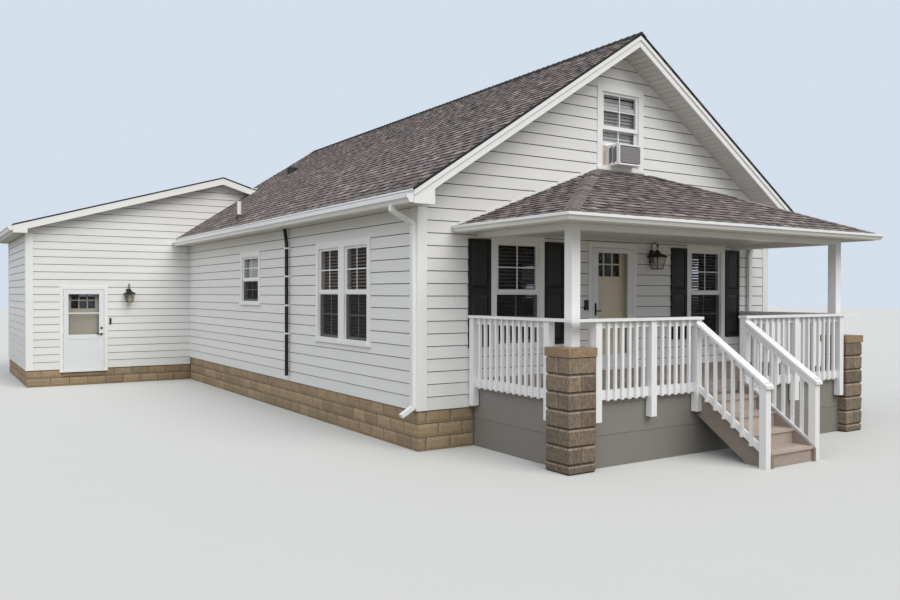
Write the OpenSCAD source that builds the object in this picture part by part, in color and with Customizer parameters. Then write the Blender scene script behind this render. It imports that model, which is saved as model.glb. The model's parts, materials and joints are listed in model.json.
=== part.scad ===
// Bungalow: a one-and-a-half storey gabled house with a hipped front porch and a low rear wing.
// X runs to the right along the front, Y runs to the back, and Z is up.
// The origin is at the middle of the front foundation wall, at the lowest ground that it meets.

/* [House] */
// Width over the side walls
house_w = 7734; // [7000:10:8600]
// Length over the end walls
house_l = 12120; // [11000:10:13500]
// Thickness of every framed wall
wall_t = 150; // [120:5:180]
// Height of the house foundation above the lowest ground
base_h = 570; // [480:10:700]
// Thickness of the block foundation walls
base_t = 200; // [150:10:250]
// Set-back of the foundation behind the face of the wall above it
base_in = 15; // [5:1:40]
// Height of the house walls at the eaves above the foundation
wall_h = 3076; // [3060:10:3400]
// Height of the floor above the foundation
floor_up = 410; // [350:5:450]
// Thickness of a floor with its joists
floor_t = 200; // [150:5:250]

/* [Main roof] */
// Rise of the main roof for each unit of run
pitch = 0.6576; // [0.6:0.0001:0.7]
// Upright thickness of the main roof
roof_v = 181; // [150:1:220]
// Overhang of the rakes past the end walls
rake_out = 446; // [350:1:500]
// Overhang of the eaves to the face of their fascia
eave_out = 330; // [280:1:360]
// Height of the boxed eave above the foundation
eave_up = 2851; // [2800:1:2860]

/* [Wing] */
// Distance by which the wing's front stands before the rear face of the house
wing_lap = 615; // [550:5:900]
// Length of the wing from its front to its rear face
wing_l = 4480; // [4000:10:5500]
// Width of the wing over its side walls
wing_w = 9100; // [8700:10:9400]
// Distance from the middle of the house to the left face of the wing
wing_left = 7627; // [7400:1:7800]
// Height of the wing's foundation above the lowest ground
wing_base_h = 392; // [360:1:450]
// Height of the wing's floor above the lowest ground
wing_floor_z = 320; // [280:1:340]
// Height of the wing walls at the eaves above the lowest ground
wing_plate_z = 3705; // [3650:1:3800]
// Rise of the wing roof for each unit of run
wing_pitch = 0.297; // [0.28:0.001:0.32]
// Upright thickness of the wing roof
wing_v = 155; // [130:1:170]
// Overhang of the wing's rakes
wing_rake_out = 250; // [200:1:300]
// Overhang of the wing's eaves to the face of their fascia
wing_eave_out = 295; // [250:1:320]

/* [Openings] */
// Width of a window's hole in the wall
win_w = 850; // [750:5:900]
// Height of a window's hole in the wall
win_h = 1570; // [1450:5:1600]
// Height of the windows' holes above the foundation
win_up = 855; // [840:5:880]
// Distance of each front window from the middle of the house
front_win_x = 2121; // [2050:1:2180]
// Width of a window's outer trim
win_trim = 80; // [60:1:90]
// Width of a doorway's hole in the wall
door_w = 950; // [900:5:1000]
// Height of a doorway's hole above its floor
door_h = 2000; // [1950:5:2040]
// Distance of the front doorway from the middle of the house, to the left
door_left = 165; // [100:1:220]
// Width of a doorway's outer trim
door_trim = 62; // [50:1:80]
// Clear gap around every door leaf
door_gap = 6; // [5:1:8]
// Width of a shutter
shutter_w = 397; // [350:1:405]

/* [Porch] */
// Distance of the porch's middle from the middle of the house, to the right
porch_x = 45; // [0:1:80]
// Depth of the deck in front of the wall
deck_out = 2150; // [2000:5:2300]
// Half the width of the deck
deck_half = 2972; // [2900:1:3050]
// Width of a square pier
pier_w = 405; // [380:1:440]
// Height of a pier to the top of its cap
pier_h = 1544; // [1480:1:1600]
// Width of a square porch post
post_w = 140; // [100:1:160]
// Distance of the porch posts' middle in from the deck's side edges
post_side_in = 137; // [110:1:180]
// Distance of the porch posts' middle back from the deck's front edge
post_front_in = 164; // [140:1:200]
// Height of the porch ceiling above the lowest ground
ceiling_z = 3098; // [3090:1:3120]
// Overhang of the porch roof's fascia past the deck's side edges
porch_side_out = 283; // [200:1:350]
// Overhang of the porch roof's fascia past the deck's front edge
porch_front_out = 260; // [200:1:320]
// Height of the porch roof's edge above the lowest ground
porch_edge_z = 3190; // [3185:1:3210]
// Height of the porch roof at the wall above the lowest ground
porch_top_z = 4205; // [4150:1:4220]
// Half the length of the porch roof's top edge on the wall
porch_flat = 602; // [500:1:700]

/* [Stairs and railings] */
// Clear width between the stair's rail posts
stair_w = 940; // [850:5:1000]
// Run of each tread
stair_run = 285; // [260:1:300]
// Number of treads below the deck
treads = 4; // [3:1:5]
// Height of the rail's top above the deck
rail_up = 918; // [880:1:960]
// Width of a square rail post
rail_post_w = 100; // [89:1:110]
// Distance between balusters, middle to middle
baluster_pitch = 143; // [120:1:160]
// Width of a square baluster
baluster_w = 38; // [32:1:45]

/* [Hidden] */

// Faces of the house
face_y = -(base_t / 2 + base_in);
half_w = house_w / 2;
rear_y = face_y + house_l;
plate_z = base_h + wall_h;
floor_z = base_h + floor_up;
eave_z = base_h + eave_up;
win_z = base_h + win_up;
attic_t = 200;

// Faces of the wing
wing_y = rear_y - wing_lap;
wing_end_y = wing_y + wing_l;
wing_x0 = -wing_left;
wing_x1 = wing_x0 + wing_w;
wing_mid_x = (wing_x0 + wing_x1) / 2;
wing_door_in = 1232;
wing_door_x = wing_x0 + wing_door_in;

// Edges of the roofs
board_t = 20;
rake_t = 25;
rake_drop = 22;
edge_drop = 28;
panel_t = 12;
gutter_w = 120;
gutter_h = 105;

// Doors
door_x = -door_left;
jamb_t = 20;
storm_t = 32;
entry_t = 45;
leaf_w = door_w - 2 * (jamb_t + door_gap);
leaf_h = door_h - 2 * (jamb_t + door_gap);
trim_out = 25;
shutter_t = 30;

// Porch and stairs
deck_z = floor_z;
post_z = ceiling_z - 78;
post_half = deck_half - post_side_in;
post_out = deck_out - post_front_in;
pier_half = post_half + 89;
pier_out = post_out + 75;
pier_gap = 50;
porch_half = deck_half + porch_side_out;
porch_out = deck_out + porch_front_out;
cap_t = 110;
stair_x = door_x - 32;
riser = deck_z / (treads + 1);
rail_z = deck_z + rail_up;
rail_t = 35;
rail_w = 140;
rail_foot_z = base_h + 30;
wood_t = 38;
rail_in = 12;
first_post = pier_half - pier_w / 2 - pier_gap - rail_post_w;
slim = 0.02;

// Clearance between a sloping roof and the walls and panels under it
seat = 0.3;

// Heights of the main roof's underside and top, and of the wing's, over any X
function main_under(x) = plate_z + (half_w - abs(x)) * pitch;
function main_top(x) = main_under(x) + roof_v;
function wing_under(x) = wing_plate_z + (wing_w / 2 - abs(x - wing_mid_x)) * wing_pitch;
function wing_top(x) = wing_under(x) + wing_v;
// Heights of the house's and the wing's walls under the roofs, over any X
function main_wall(x) = main_under(x) - seat;
function wing_wall(x) = wing_under(x) - seat;
// X where the wing's right slope comes down to the main roof's left slope, for a given lift of each
function meet_x(low, high) = (wing_plate_z + wing_w / 2 * wing_pitch + high + wing_mid_x * wing_pitch
    - plate_z - half_w * pitch - low) / (pitch + wing_pitch);

// A box between two corners
module block(x, y, z) {
    translate([x[0], y[0], z[0]]) cube([x[1] - x[0], y[1] - y[0], z[1] - z[0]]);
}

// An outline in X and Z, carried along Y
module along_y(y, points) {
    translate([0, y[1], 0]) rotate([90, 0, 0]) linear_extrude(y[1] - y[0]) polygon(points);
}

// An outline in Y and Z, carried along X
module along_x(x, points) {
    translate([x[0], 0, 0]) rotate([90, 0, 90]) linear_extrude(x[1] - x[0]) polygon(points);
}

// Places its children on a wall: local X runs along it, local Y goes into it from its outer face
module on_front(x, z) {
    translate([x, face_y, z]) children();
}
module on_left(y, z) {
    translate([-half_w, y, z]) rotate([0, 0, -90]) children();
}
module on_right(y, z) {
    translate([half_w, y, z]) rotate([0, 0, 90]) children();
}
module on_wing_front(x, z) {
    translate([x, wing_y, z]) children();
}
module on_wing_rear(x, z) {
    translate([x, wing_end_y, z]) rotate([0, 0, 180]) children();
}

// Foundation and floors

// The ring of block walls under the house
module house_foundation() {
    x = half_w - base_in;
    y1 = rear_y - base_in;
    color("tan") difference() {
        block([-x, x], [-base_t / 2, y1], [0, base_h]);
        block([base_t - x, x - base_t], [base_t / 2, y1 - base_t], [-1, base_h + 1]);
    }
}

// The block walls under the wing, low where its doorway stands
module wing_foundation() {
    x0 = wing_x0 + base_in;
    x1 = wing_x1 - base_in;
    y0 = wing_y + base_in;
    y1 = wing_end_y - base_in;
    color("tan") difference() {
        block([x0, x1], [y0, y1], [0, wing_base_h]);
        block([x0 + base_t, x1 - base_t], [y0 + base_t, y1 - base_t], [-1, wing_base_h + 1]);
        block([-half_w + base_in, half_w], [y0 - 1, rear_y - base_in], [-1, wing_base_h + 1]);
        block([wing_door_x - door_w / 2, wing_door_x + door_w / 2], [y0 - 1, y0 + base_t + 1],
            [wing_floor_z - jamb_t, wing_base_h + 1]);
    }
}

// One framed floor: boards over a rim and one middle girder
module framed_floor(z0, z1, rim) {
    x = half_w - wall_t;
    y0 = face_y + wall_t;
    y1 = rear_y - wall_t;
    block([-x, x], [y0, y1], [z1 - floor_t, z1]);
    if (z0 < z1 - floor_t) {
        block([-x, x], [y0, y0 + rim], [z0, z1]);
        block([-x, x], [y1 - rim, y1], [z0, z1]);
        block([-x, rim - x], [y0, y1], [z0, z1]);
        block([x - rim, x], [y0, y1], [z0, z1]);
    }
}

module house_floors() {
    color("burlywood") {
        union() framed_floor(base_h, floor_z, base_t - wall_t + base_in);
        framed_floor(plate_z - attic_t, plate_z, 0);
    }
}

module wing_floor() {
    x0 = wing_x0 + base_in + base_t;
    x1 = wing_x1 - base_in - base_t;
    y1 = wing_end_y - base_in - base_t;
    color("gray") difference() {
        block([x0, x1], [wing_y + base_in + base_t, y1], [wing_floor_z - 100, wing_floor_z]);
        block([-half_w + base_in, half_w], [wing_y, rear_y - base_in], [0, wing_floor_z + 1]);
    }
}

// Walls

// The hole of a window or a doorway, cut through a wall
module hole(w, h) {
    block([-w / 2, w / 2], [-1, wall_t + 1], [0, h]);
}

module front_walls() {
    color("whitesmoke") difference() {
        for (side = [-1, 1]) {
            x0 = side < 0 ? -half_w : door_x + door_w / 2;
            x1 = side < 0 ? door_x - door_w / 2 : half_w;
            block([x0, x1], [face_y, face_y + wall_t], [base_h, plate_z]);
        }
        for (side = [-1, 1]) on_front(side * front_win_x, win_z) hole(win_w, win_h);
    }
}

// The wall over and under the front doorway, and over the wing's doorway
module door_head_walls() {
    x0 = door_x - door_w / 2;
    x1 = door_x + door_w / 2;
    w0 = wing_door_x - door_w / 2;
    w1 = wing_door_x + door_w / 2;
    head = wing_floor_z + door_h;
    color("whitesmoke") {
        block([x0, x1], [face_y, face_y + wall_t], [floor_z + door_h, plate_z]);
        block([x0, x1], [face_y, face_y + wall_t], [base_h, floor_z]);
        along_y([wing_y, wing_y + wall_t], [[w0, head], [w1, head], [w1, wing_wall(w1)],
            [w0, wing_wall(w0)]]);
    }
}

// The triangle of wall over the front wall, with the attic window's hole
gable_win_w = 862;
gable_win_h = 1250;
gable_up = 3700;
gable_win_z = base_h + gable_up;
gable_trim = 91;
module front_gable() {
    x = half_w - seat / pitch;
    color("whitesmoke") difference() {
        along_y([face_y, face_y + wall_t], [[-x, plate_z], [x, plate_z], [0, main_wall(0)]]);
        on_front(0, gable_win_z) hole(gable_win_w, gable_win_h);
    }
}

// Places of the side windows along the house, and of the small one
pair_back = 2445;
pair_y = face_y + pair_back;
pair_gap = 1030;
small_back = 6885;
small_y = face_y + small_back;
small_w = 1040;
small_h = 985;
small_z = win_z + win_h - small_h;

module side_walls() {
    y = [face_y + wall_t, rear_y - wall_t];
    x1 = half_w - wall_t;
    color("whitesmoke") {
        difference() {
            along_y(y, [[-half_w, base_h], [-x1, base_h], [-x1, main_wall(x1)], [-half_w, plate_z - seat]]);
            for (k = [-0.5, 0.5]) on_left(pair_y + k * pair_gap, win_z) hole(win_w, win_h);
            on_left(small_y, small_z) hole(small_w, small_h);
        }
        difference() {
            along_y(y, [[half_w, base_h], [half_w, plate_z - seat], [x1, main_wall(x1)], [x1, base_h]]);
            for (k = [-0.5, 0.5]) on_right(pair_y + k * pair_gap, win_z) hole(win_w, win_h);
            on_right(small_y, small_z) hole(small_w, small_h);
        }
    }
}

module rear_wall() {
    color("whitesmoke") along_y([rear_y - wall_t, rear_y], [[-half_w, base_h], [half_w, base_h],
        [half_w, plate_z - seat], [0, main_wall(0)], [-half_w, plate_z - seat]]);
}

module wing_front_walls() {
    y = [wing_y, wing_y + wall_t];
    w0 = wing_door_x - door_w / 2;
    w1 = wing_door_x + door_w / 2;
    tip = meet_x(roof_v + seat, -seat);
    color("whitesmoke") {
        along_y(y, [[wing_x0, wing_base_h], [w0, wing_base_h], [w0, wing_wall(w0)],
            [wing_x0, wing_plate_z - seat]]);
        along_y(y, [[w1, wing_base_h], [-half_w, wing_base_h], [-half_w, main_top(half_w) + seat],
            [tip, main_top(tip) + seat], [wing_mid_x, wing_wall(wing_mid_x)], [w1, wing_wall(w1)]]);
    }
}

module wing_side_walls() {
    color("whitesmoke") {
        along_y([wing_y + wall_t, wing_end_y - wall_t], [[wing_x0, wing_base_h],
            [wing_x0 + wall_t, wing_base_h], [wing_x0 + wall_t, wing_wall(wing_x0 + wall_t)],
            [wing_x0, wing_plate_z - seat]]);
        along_y([rear_y, wing_end_y - wall_t], [[wing_x1 - wall_t, wing_base_h], [wing_x1, wing_base_h],
            [wing_x1, wing_plate_z - seat], [wing_x1 - wall_t, wing_wall(wing_x1 - wall_t)]]);
    }
}

wing_win_x = 2400;
module wing_rear_wall() {
    color("whitesmoke") difference() {
        along_y([wing_end_y - wall_t, wing_end_y], [[wing_x0, wing_base_h], [wing_x1, wing_base_h],
            [wing_x1, wing_plate_z - seat], [wing_mid_x, wing_wall(wing_mid_x)],
            [wing_x0, wing_plate_z - seat]]);
        for (side = [-1, 1]) on_wing_rear(wing_mid_x + side * wing_win_x, wing_win_z) hole(win_w, win_h);
    }
}
wing_step = 178;
wing_win_z = win_z - wing_step;

// An upright trim board wrapped round an outer corner; sx and sy point away from the building
corner_w = 155;
module corner(x, y, sx, sy, z0, z1) {
    translate([x, y, 0]) scale([sx, sy, 1]) {
        block([-corner_w + board_t, board_t], [0, board_t], [z0, z1]);
        block([0, board_t], [-corner_w, 1], [z0, z1]);
    }
}

module corner_boards() {
    top = eave_z;
    color("white") {
        for (side = [-1, 1]) union() corner(side * half_w, face_y, side, -1, base_h, top);
        union() corner(half_w, rear_y, 1, 1, base_h, top);
        union() corner(wing_x0, wing_y, -1, -1, wing_base_h, wing_plate_z - 103);
        for (x = [wing_x0, wing_x1]) union()
            corner(x, wing_end_y, x < 0 ? -1 : 1, 1, wing_base_h, wing_plate_z - 103);
    }
}

// Roofs

// The outer form of the wing under the top of its roof, that the main roof is cut back to
module wing_form(lift) {
    x0 = wing_x0 - wing_eave_out;
    x1 = wing_x1 + wing_eave_out;
    points = [[x0, 0], [x1, 0], [x1, wing_top(x1) + lift], [wing_mid_x, wing_top(wing_mid_x) + lift],
        [x0, wing_top(x0) + lift]];
    difference() {
        along_y([wing_y, wing_end_y], points);
        block([-half_w, half_w + 1], [wing_y - 1, rear_y], [-1, wing_top(wing_mid_x) + lift + 1]);
    }
}

// One slope of the main roof, on the left
module main_slope() {
    x0 = half_w + eave_out - board_t;
    along_y([face_y - rake_out + rake_t, rear_y + rake_out - rake_t],
        [[-x0, main_under(x0)], [0, main_under(0)], [0, main_top(0)], [-x0, main_top(x0)]]);
}

module main_roof_left() {
    color("dimgray") difference() {
        main_slope();
        wing_form(0);
    }
}

module main_roof_right() {
    color("dimgray") mirror([1, 0, 0]) main_slope();
}

// The wing's left slope, which ends at the main roof, and its right one behind the house
module wing_roof_left() {
    x0 = wing_x0 - wing_eave_out + board_t;
    color("dimgray") difference() {
        along_y([wing_y - wing_rake_out + rake_t, wing_end_y + wing_rake_out - rake_t],
            [[x0, wing_under(x0)], [wing_mid_x, wing_under(wing_mid_x)],
            [wing_mid_x, wing_top(wing_mid_x)], [x0, wing_top(x0)]]);
        under_main_roof(0);
    }
}

module wing_roof_right() {
    x1 = wing_x1 + wing_eave_out - board_t;
    color("dimgray") difference() {
        along_y([wing_y - wing_rake_out + rake_t, wing_end_y + wing_rake_out - rake_t],
            [[wing_mid_x, wing_under(wing_mid_x)], [x1, wing_under(x1)], [x1, wing_top(x1)],
            [wing_mid_x, wing_top(wing_mid_x)]]);
        under_main_roof(0);
    }
}

// All the space of the house up to the top of its roof, in front of its rear wall
module under_main_roof(lift) {
    x0 = half_w;
    along_y([face_y, rear_y], [[-x0, 0], [x0, 0], [x0, main_top(x0) + lift], [0, main_top(0) + lift],
        [-x0, main_top(x0) + lift]]);
}

// A folded cap over a ridge
module ridge_cap(mid, top, slope, y, w, t) {
    drop = w * slope;
    along_y(y, [[mid - w, top - drop], [mid, top], [mid + w, top - drop], [mid + w, top - drop + t],
        [mid, top + t], [mid - w, top - drop + t]]);
}

module ridge_caps() {
    color("dimgray") {
        ridge_cap(0, main_top(0), pitch, [face_y - rake_out, rear_y + rake_out], 150, 40);
        ridge_cap(wing_mid_x, wing_top(wing_mid_x), wing_pitch,
            [wing_y - wing_rake_out, wing_end_y + wing_rake_out], 140, 25);
    }
}

// The outline of the main rake boards, with the boxed ends of the eaves
function rake_points(rise) = let(x = half_w + eave_out)
    [[-x, eave_z - 10], [-half_w, eave_z - 10], [-half_w, plate_z - rake_drop],
    [0, main_under(0) - rake_drop], [half_w, plate_z - rake_drop], [half_w, eave_z - 10],
    [x, eave_z - 10], [x, main_top(x) - edge_drop + rise], [0, main_top(0) - edge_drop + rise],
    [-x, main_top(x) - edge_drop + rise]];

// The narrower trim along the top of the rake boards
function crown_points(depth) = let(x = half_w + eave_out, top = -edge_drop)
    [[-x, main_top(x) + top - depth], [0, main_top(0) + top - depth], [x, main_top(x) + top - depth],
    [x, main_top(x) + top], [0, main_top(0) + top], [-x, main_top(x) + top]];

crown_t = 18;
crown_depth = 66;
wing_soffit_z = wing_plate_z - 103;
wing_drop = 15;
// The outline of a wing rake board from its left boxed end to x1, with a boxed end there if it has one
function wing_rake_points(x1, boxed) = let(x0 = wing_x0 - wing_eave_out, low = wing_soffit_z - 8)
    concat([[x0, low], [wing_x0, low], [wing_x0, wing_plate_z - wing_drop],
        [wing_mid_x, wing_under(wing_mid_x) - wing_drop]],
        boxed ? [[wing_x1, wing_plate_z - wing_drop], [wing_x1, low], [x1, low]]
            : [[x1, wing_under(x1) - wing_drop]],
        [[x1, wing_top(x1) - wing_drop], [wing_mid_x, wing_top(wing_mid_x) - wing_drop],
        [x0, wing_top(x0) - wing_drop]]);

module rake_boards() {
    front = face_y - rake_out;
    rear = rear_y + rake_out;
    color("white") {
        union() {
            along_y([front, front + rake_t], rake_points(0));
            along_y([front - crown_t, front + 1], crown_points(crown_depth));
        }
        difference() {
            along_y([rear - rake_t, rear], rake_points(0));
            wing_form(1);
        }
        difference() {
            along_y([wing_y - wing_rake_out, wing_y - wing_rake_out + rake_t],
                wing_rake_points(meet_x(roof_v, wing_v), false));
            under_main_roof(0);
        }
        along_y([wing_end_y + wing_rake_out - rake_t, wing_end_y + wing_rake_out],
            wing_rake_points(wing_x1 + wing_eave_out, true));
    }
}

module eave_boards() {
    x = half_w + eave_out;
    y0 = face_y - rake_out + rake_t;
    y1 = rear_y + rake_out - rake_t;
    wx0 = wing_x0 - wing_eave_out;
    wx1 = wing_x1 + wing_eave_out;
    wy = [wing_y - wing_rake_out + rake_t, wing_end_y + wing_rake_out - rake_t];
    color("white") {
        block([-x, -x + board_t], [y0, wing_y], [eave_z - 10, main_top(x) - edge_drop]);
        block([x - board_t, x], [y0, y1], [eave_z - 10, main_top(x) - edge_drop]);
        block([wx0, wx0 + board_t], wy, [wing_soffit_z - 8, wing_top(wx0) - wing_drop]);
        block([wx1 - board_t, wx1], [rear_y, wy[1]], [wing_soffit_z - 8, wing_top(wx1) - wing_drop]);
    }
}

// The sloping panels under the rakes of the house, and under those of the wing
function rake_soffit_points() = let(z = plate_z - seat, top = main_wall(0))
    [[-half_w, z - panel_t], [0, top - panel_t], [half_w, z - panel_t], [half_w, z], [0, top],
    [-half_w, z]];
function wing_soffit_points() = let(z = wing_plate_z - seat, top = wing_wall(wing_mid_x))
    [[wing_x0, z - panel_t], [wing_mid_x, top - panel_t], [wing_x1, z - panel_t], [wing_x1, z],
    [wing_mid_x, top], [wing_x0, z]];

// The panels that close the overhangs from below
module soffits() {
    x = half_w + eave_out - board_t;
    y0 = face_y - rake_out + rake_t;
    y1 = rear_y + rake_out - rake_t;
    color("white") {
        block([-x, -half_w], [y0, wing_y], [eave_z, eave_z + panel_t]);
        block([half_w, x], [y0, y1], [eave_z, eave_z + panel_t]);
        along_y([y0, face_y], rake_soffit_points());
        difference() {
            along_y([rear_y, y1], rake_soffit_points());
            wing_form(1);
        }
        difference() {
            along_y([wing_y - wing_rake_out + rake_t, wing_y], wing_soffit_points());
            under_main_roof(1);
        }
        along_y([wing_end_y, wing_end_y + wing_rake_out - rake_t], wing_soffit_points());
        block([wing_x0 - wing_eave_out + board_t, wing_x0],
            [wing_y - wing_rake_out + rake_t, wing_end_y + wing_rake_out - rake_t],
            [wing_soffit_z, wing_soffit_z + panel_t]);
        block([wing_x1, wing_x1 + wing_eave_out - board_t],
            [rear_y, wing_end_y + wing_rake_out - rake_t], [wing_soffit_z, wing_soffit_z + panel_t]);
    }
}

// The section of a gutter: an open trough with a stepped front, outwards along +X
gutter_wall = 4;
function gutter_outline(w, h) = [[0, 0], [w * 0.62, 0], [w * 0.8, h * 0.45], [w, h * 0.6], [w, h],
    [w - gutter_wall, h], [w - gutter_wall, h * 0.6 + 2], [w * 0.8 - 3, h * 0.45 + 4],
    [w * 0.62 - 3, gutter_wall], [gutter_wall, gutter_wall], [gutter_wall, h], [0, h]];

// A gutter along Y on a fascia at x, opening to the side given by dir
module side_gutter(x, y, z, dir) {
    points = [for (p = gutter_outline(gutter_w, gutter_h)) [x + dir * p[0], z + p[1]]];
    along_y(y, points);
}

// The porch gutter: three troughs cut to a mitre at both corners
porch_gutter_w = 110;
porch_gutter_h = 90;
porch_gutter_drop = 10;
module porch_gutter() {
    z = porch_edge_z - porch_gutter_drop - porch_gutter_h;
    y = face_y - porch_out;
    w = porch_gutter_w;
    far = porch_half + w;
    union() {
        intersection() {
            along_x([porch_x - far, porch_x + far],
                [for (p = gutter_outline(w, porch_gutter_h)) [y - p[0], z + p[1]]]);
            linear_extrude(porch_edge_z) polygon([[porch_x - porch_half + w, y + w],
                [porch_x - far, y - w], [porch_x + far, y - w], [porch_x + porch_half - w, y + w]]);
        }
        for (dir = [-1, 1]) intersection() {
            along_y([y - w, face_y - 5],
                [for (p = gutter_outline(w, porch_gutter_h)) [porch_x + dir * (porch_half + p[0]), z + p[1]]]);
            linear_extrude(porch_edge_z) polygon([[porch_x + dir * (porch_half - w), y + w],
                [porch_x + dir * far, y - w], [porch_x + dir * far, face_y],
                [porch_x + dir * (porch_half - w), face_y]]);
        }
    }
}

module gutters() {
    x = half_w + eave_out;
    y0 = face_y - rake_out;
    z = eave_z - 6;
    wz = wing_soffit_z + 35;
    color("white") {
        side_gutter(-x, [y0, wing_y - 5], z, -1);
        side_gutter(x, [y0, rear_y + rake_out], z, 1);
        side_gutter(wing_x0 - wing_eave_out, [wing_y - wing_rake_out, wing_end_y + wing_rake_out], wz, -1);
        side_gutter(wing_x1 + wing_eave_out, [rear_y + rake_out + 5, wing_end_y + wing_rake_out], wz, 1);
        porch_gutter();
    }
}

// A box-section pipe between two points of the plane that faces the front
module pipe_leg(p, q, w) {
    d = q - p;
    n = [-d[1], d[0]] / norm(d) * w / 2;
    polygon([p + n, q + n, q - n, p - n]);
}

// A bent pipe through the given points of that plane, w wide in it and spanning y
module bent_pipe(points, w, y) {
    translate([0, y[1], 0]) rotate([90, 0, 0]) linear_extrude(y[1] - y[0]) union() {
        for (k = [0:len(points) - 2]) pipe_leg(points[k], points[k + 1], w);
        for (k = [1:len(points) - 2]) translate(points[k]) circle(d = w, $fn = 8);
    }
}

// One downspout on a side wall: outlet, slant back to the wall, long leg and turned foot
spout_w = 57;
spout_l = 76;
spout_off = 20;
spout_foot = 60;
spout_in = 60;
module side_downspout() {
    out = half_w + eave_out + gutter_w / 2;
    near = half_w + spout_off + spout_w / 2;
    foot_z = base_h - spout_foot;
    y = face_y + spout_in;
    bent_pipe([[out, eave_z - 6], [out, eave_z - 70], [near, eave_z - 240], [near, foot_z + 110],
        [near + 190, foot_z]], spout_w, [y - spout_l / 2, y + spout_l / 2]);
}

// The porch's downspout, flat on the front wall, clear of the deck and of the shutter beside it
spout_gap = 217;
spout_clear = 5;
module porch_downspout() {
    out = porch_x + porch_half + spout_l / 2 + spout_clear;
    near = max(porch_x + deck_half, front_win_x + shutter_mid + shutter_w / 2) + spout_gap + spout_l / 2;
    z = porch_edge_z - porch_gutter_drop - porch_gutter_h;
    bent_pipe([[out, z], [out, z - spout_l / 2 - spout_clear], [near, z - 150], [near, 190], [near + 150, 60]], spout_l,
        [face_y - spout_off - spout_w, face_y - spout_off]);
}

module downspouts() {
    color("white") {
        mirror([1, 0, 0]) side_downspout();
        side_downspout();
        porch_downspout();
    }
}

// White strips where the porch and the wing meet the wall and the roof
strip_w = 70;
module flashings() {
    y = [face_y - panel_t, face_y];
    z = porch_top_z;
    sill_half = gable_win_w / 2 + gable_trim + sill_side;
    color("white") difference() {
        along_y(y, [[porch_x - porch_half, porch_edge_z], [porch_x - porch_flat, z],
            [porch_x + porch_flat, z], [porch_x + porch_half, porch_edge_z],
            [porch_x + porch_half, porch_edge_z + strip_w], [porch_x + porch_flat, z + strip_w],
            [porch_x - porch_flat, z + strip_w], [porch_x - porch_half, porch_edge_z + strip_w]]);
        block([-sill_half, sill_half], [y[0] - 1, y[1] + 1], [gable_win_z - sill_out, z + 2 * strip_w]);
    }
}

// Windows

// One flat ring in the plane of the wall, with its hole, between two depths
module ring(x, z, side, foot, head, y) {
    difference() {
        block(x, y, z);
        block([x[0] + side, x[1] - side], [y[0] - 1, y[1] + 1], [z[0] + foot, z[1] - head]);
    }
}

sash_side = 50;
sash_head = 40;
sash_foot = 60;
sash_meet = 63;
sash_y = 8;
sash_t = 30;
lining = 20;
sill_t = 25;
sill_out = 45;
sill_side = 15;
case_t = 22;
frame_d = 110;
// A double-hung window in its hole: outer trim, lining, an upper sash and a lower sash behind it
module window_unit(w, h, meet, raised, trim) {
    difference() {
        union() {
            block([-w / 2 - trim, w / 2 + trim], [-case_t, 0], [0, h + trim]);
            block([-w / 2 - trim - sill_side, w / 2 + trim + sill_side], [-sill_out, 0], [-sill_out, 0]);
            block([-w / 2, w / 2], [-sill_out, frame_d], [0, sill_t]);
            block([-w / 2, w / 2], [0, frame_d], [0, h]);
        }
        block([lining - w / 2, w / 2 - lining], [-sill_out - 1, frame_d + 1], [sill_t, h - lining]);
    }
    ring([lining - w / 2, w / 2 - lining], [meet - sash_meet / 2, h - lining], sash_side, sash_meet,
        sash_head, [sash_y, sash_y + sash_t]);
    ring([lining - w / 2, w / 2 - lining], [sill_t + raised, meet + sash_meet / 2 + raised], sash_side,
        sash_foot, sash_meet, [sash_y + sash_t, sash_y + 2 * sash_t]);
}

// The two panes of a double-hung window
pane_t = 6;
module window_panes(w, h, meet, raised) {
    x = w / 2 - lining - sash_side;
    y0 = sash_y + (sash_t - pane_t) / 2;
    y1 = y0 + sash_t;
    block([-x, x], [y0, y0 + pane_t], [meet + sash_meet / 2, h - lining - sash_head]);
    block([-x, x], [y1, y1 + pane_t], [sill_t + sash_foot + raised, meet - sash_meet / 2 + raised]);
}

win_meet = 818;
small_meet = 500;
gable_meet = 654;
cooler_h = 335;

module front_windows() {
    color("white") for (side = [-1, 1]) on_front(side * front_win_x, win_z)
        union() window_unit(win_w, win_h, win_meet, 0, win_trim);
}

module gable_window() {
    color("white") on_front(0, gable_win_z) union()
        window_unit(gable_win_w, gable_win_h, gable_meet, cooler_h, gable_trim);
}

module side_windows() {
    color("white") {
        union() for (k = [-0.5, 0.5]) on_left(pair_y + k * pair_gap, win_z)
            window_unit(win_w, win_h, win_meet, 0, (pair_gap - win_w) / 2);
        on_left(small_y, small_z) union() window_unit(small_w, small_h, small_meet, 0, win_trim);
        union() for (k = [-0.5, 0.5]) on_right(pair_y + k * pair_gap, win_z)
            window_unit(win_w, win_h, win_meet, 0, (pair_gap - win_w) / 2);
        on_right(small_y, small_z) union() window_unit(small_w, small_h, small_meet, 0, win_trim);
    }
}

module wing_windows() {
    color("white") for (side = [-1, 1]) on_wing_rear(wing_mid_x + side * wing_win_x, wing_win_z)
        union() window_unit(win_w, win_h, win_meet, 0, win_trim);
}

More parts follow.
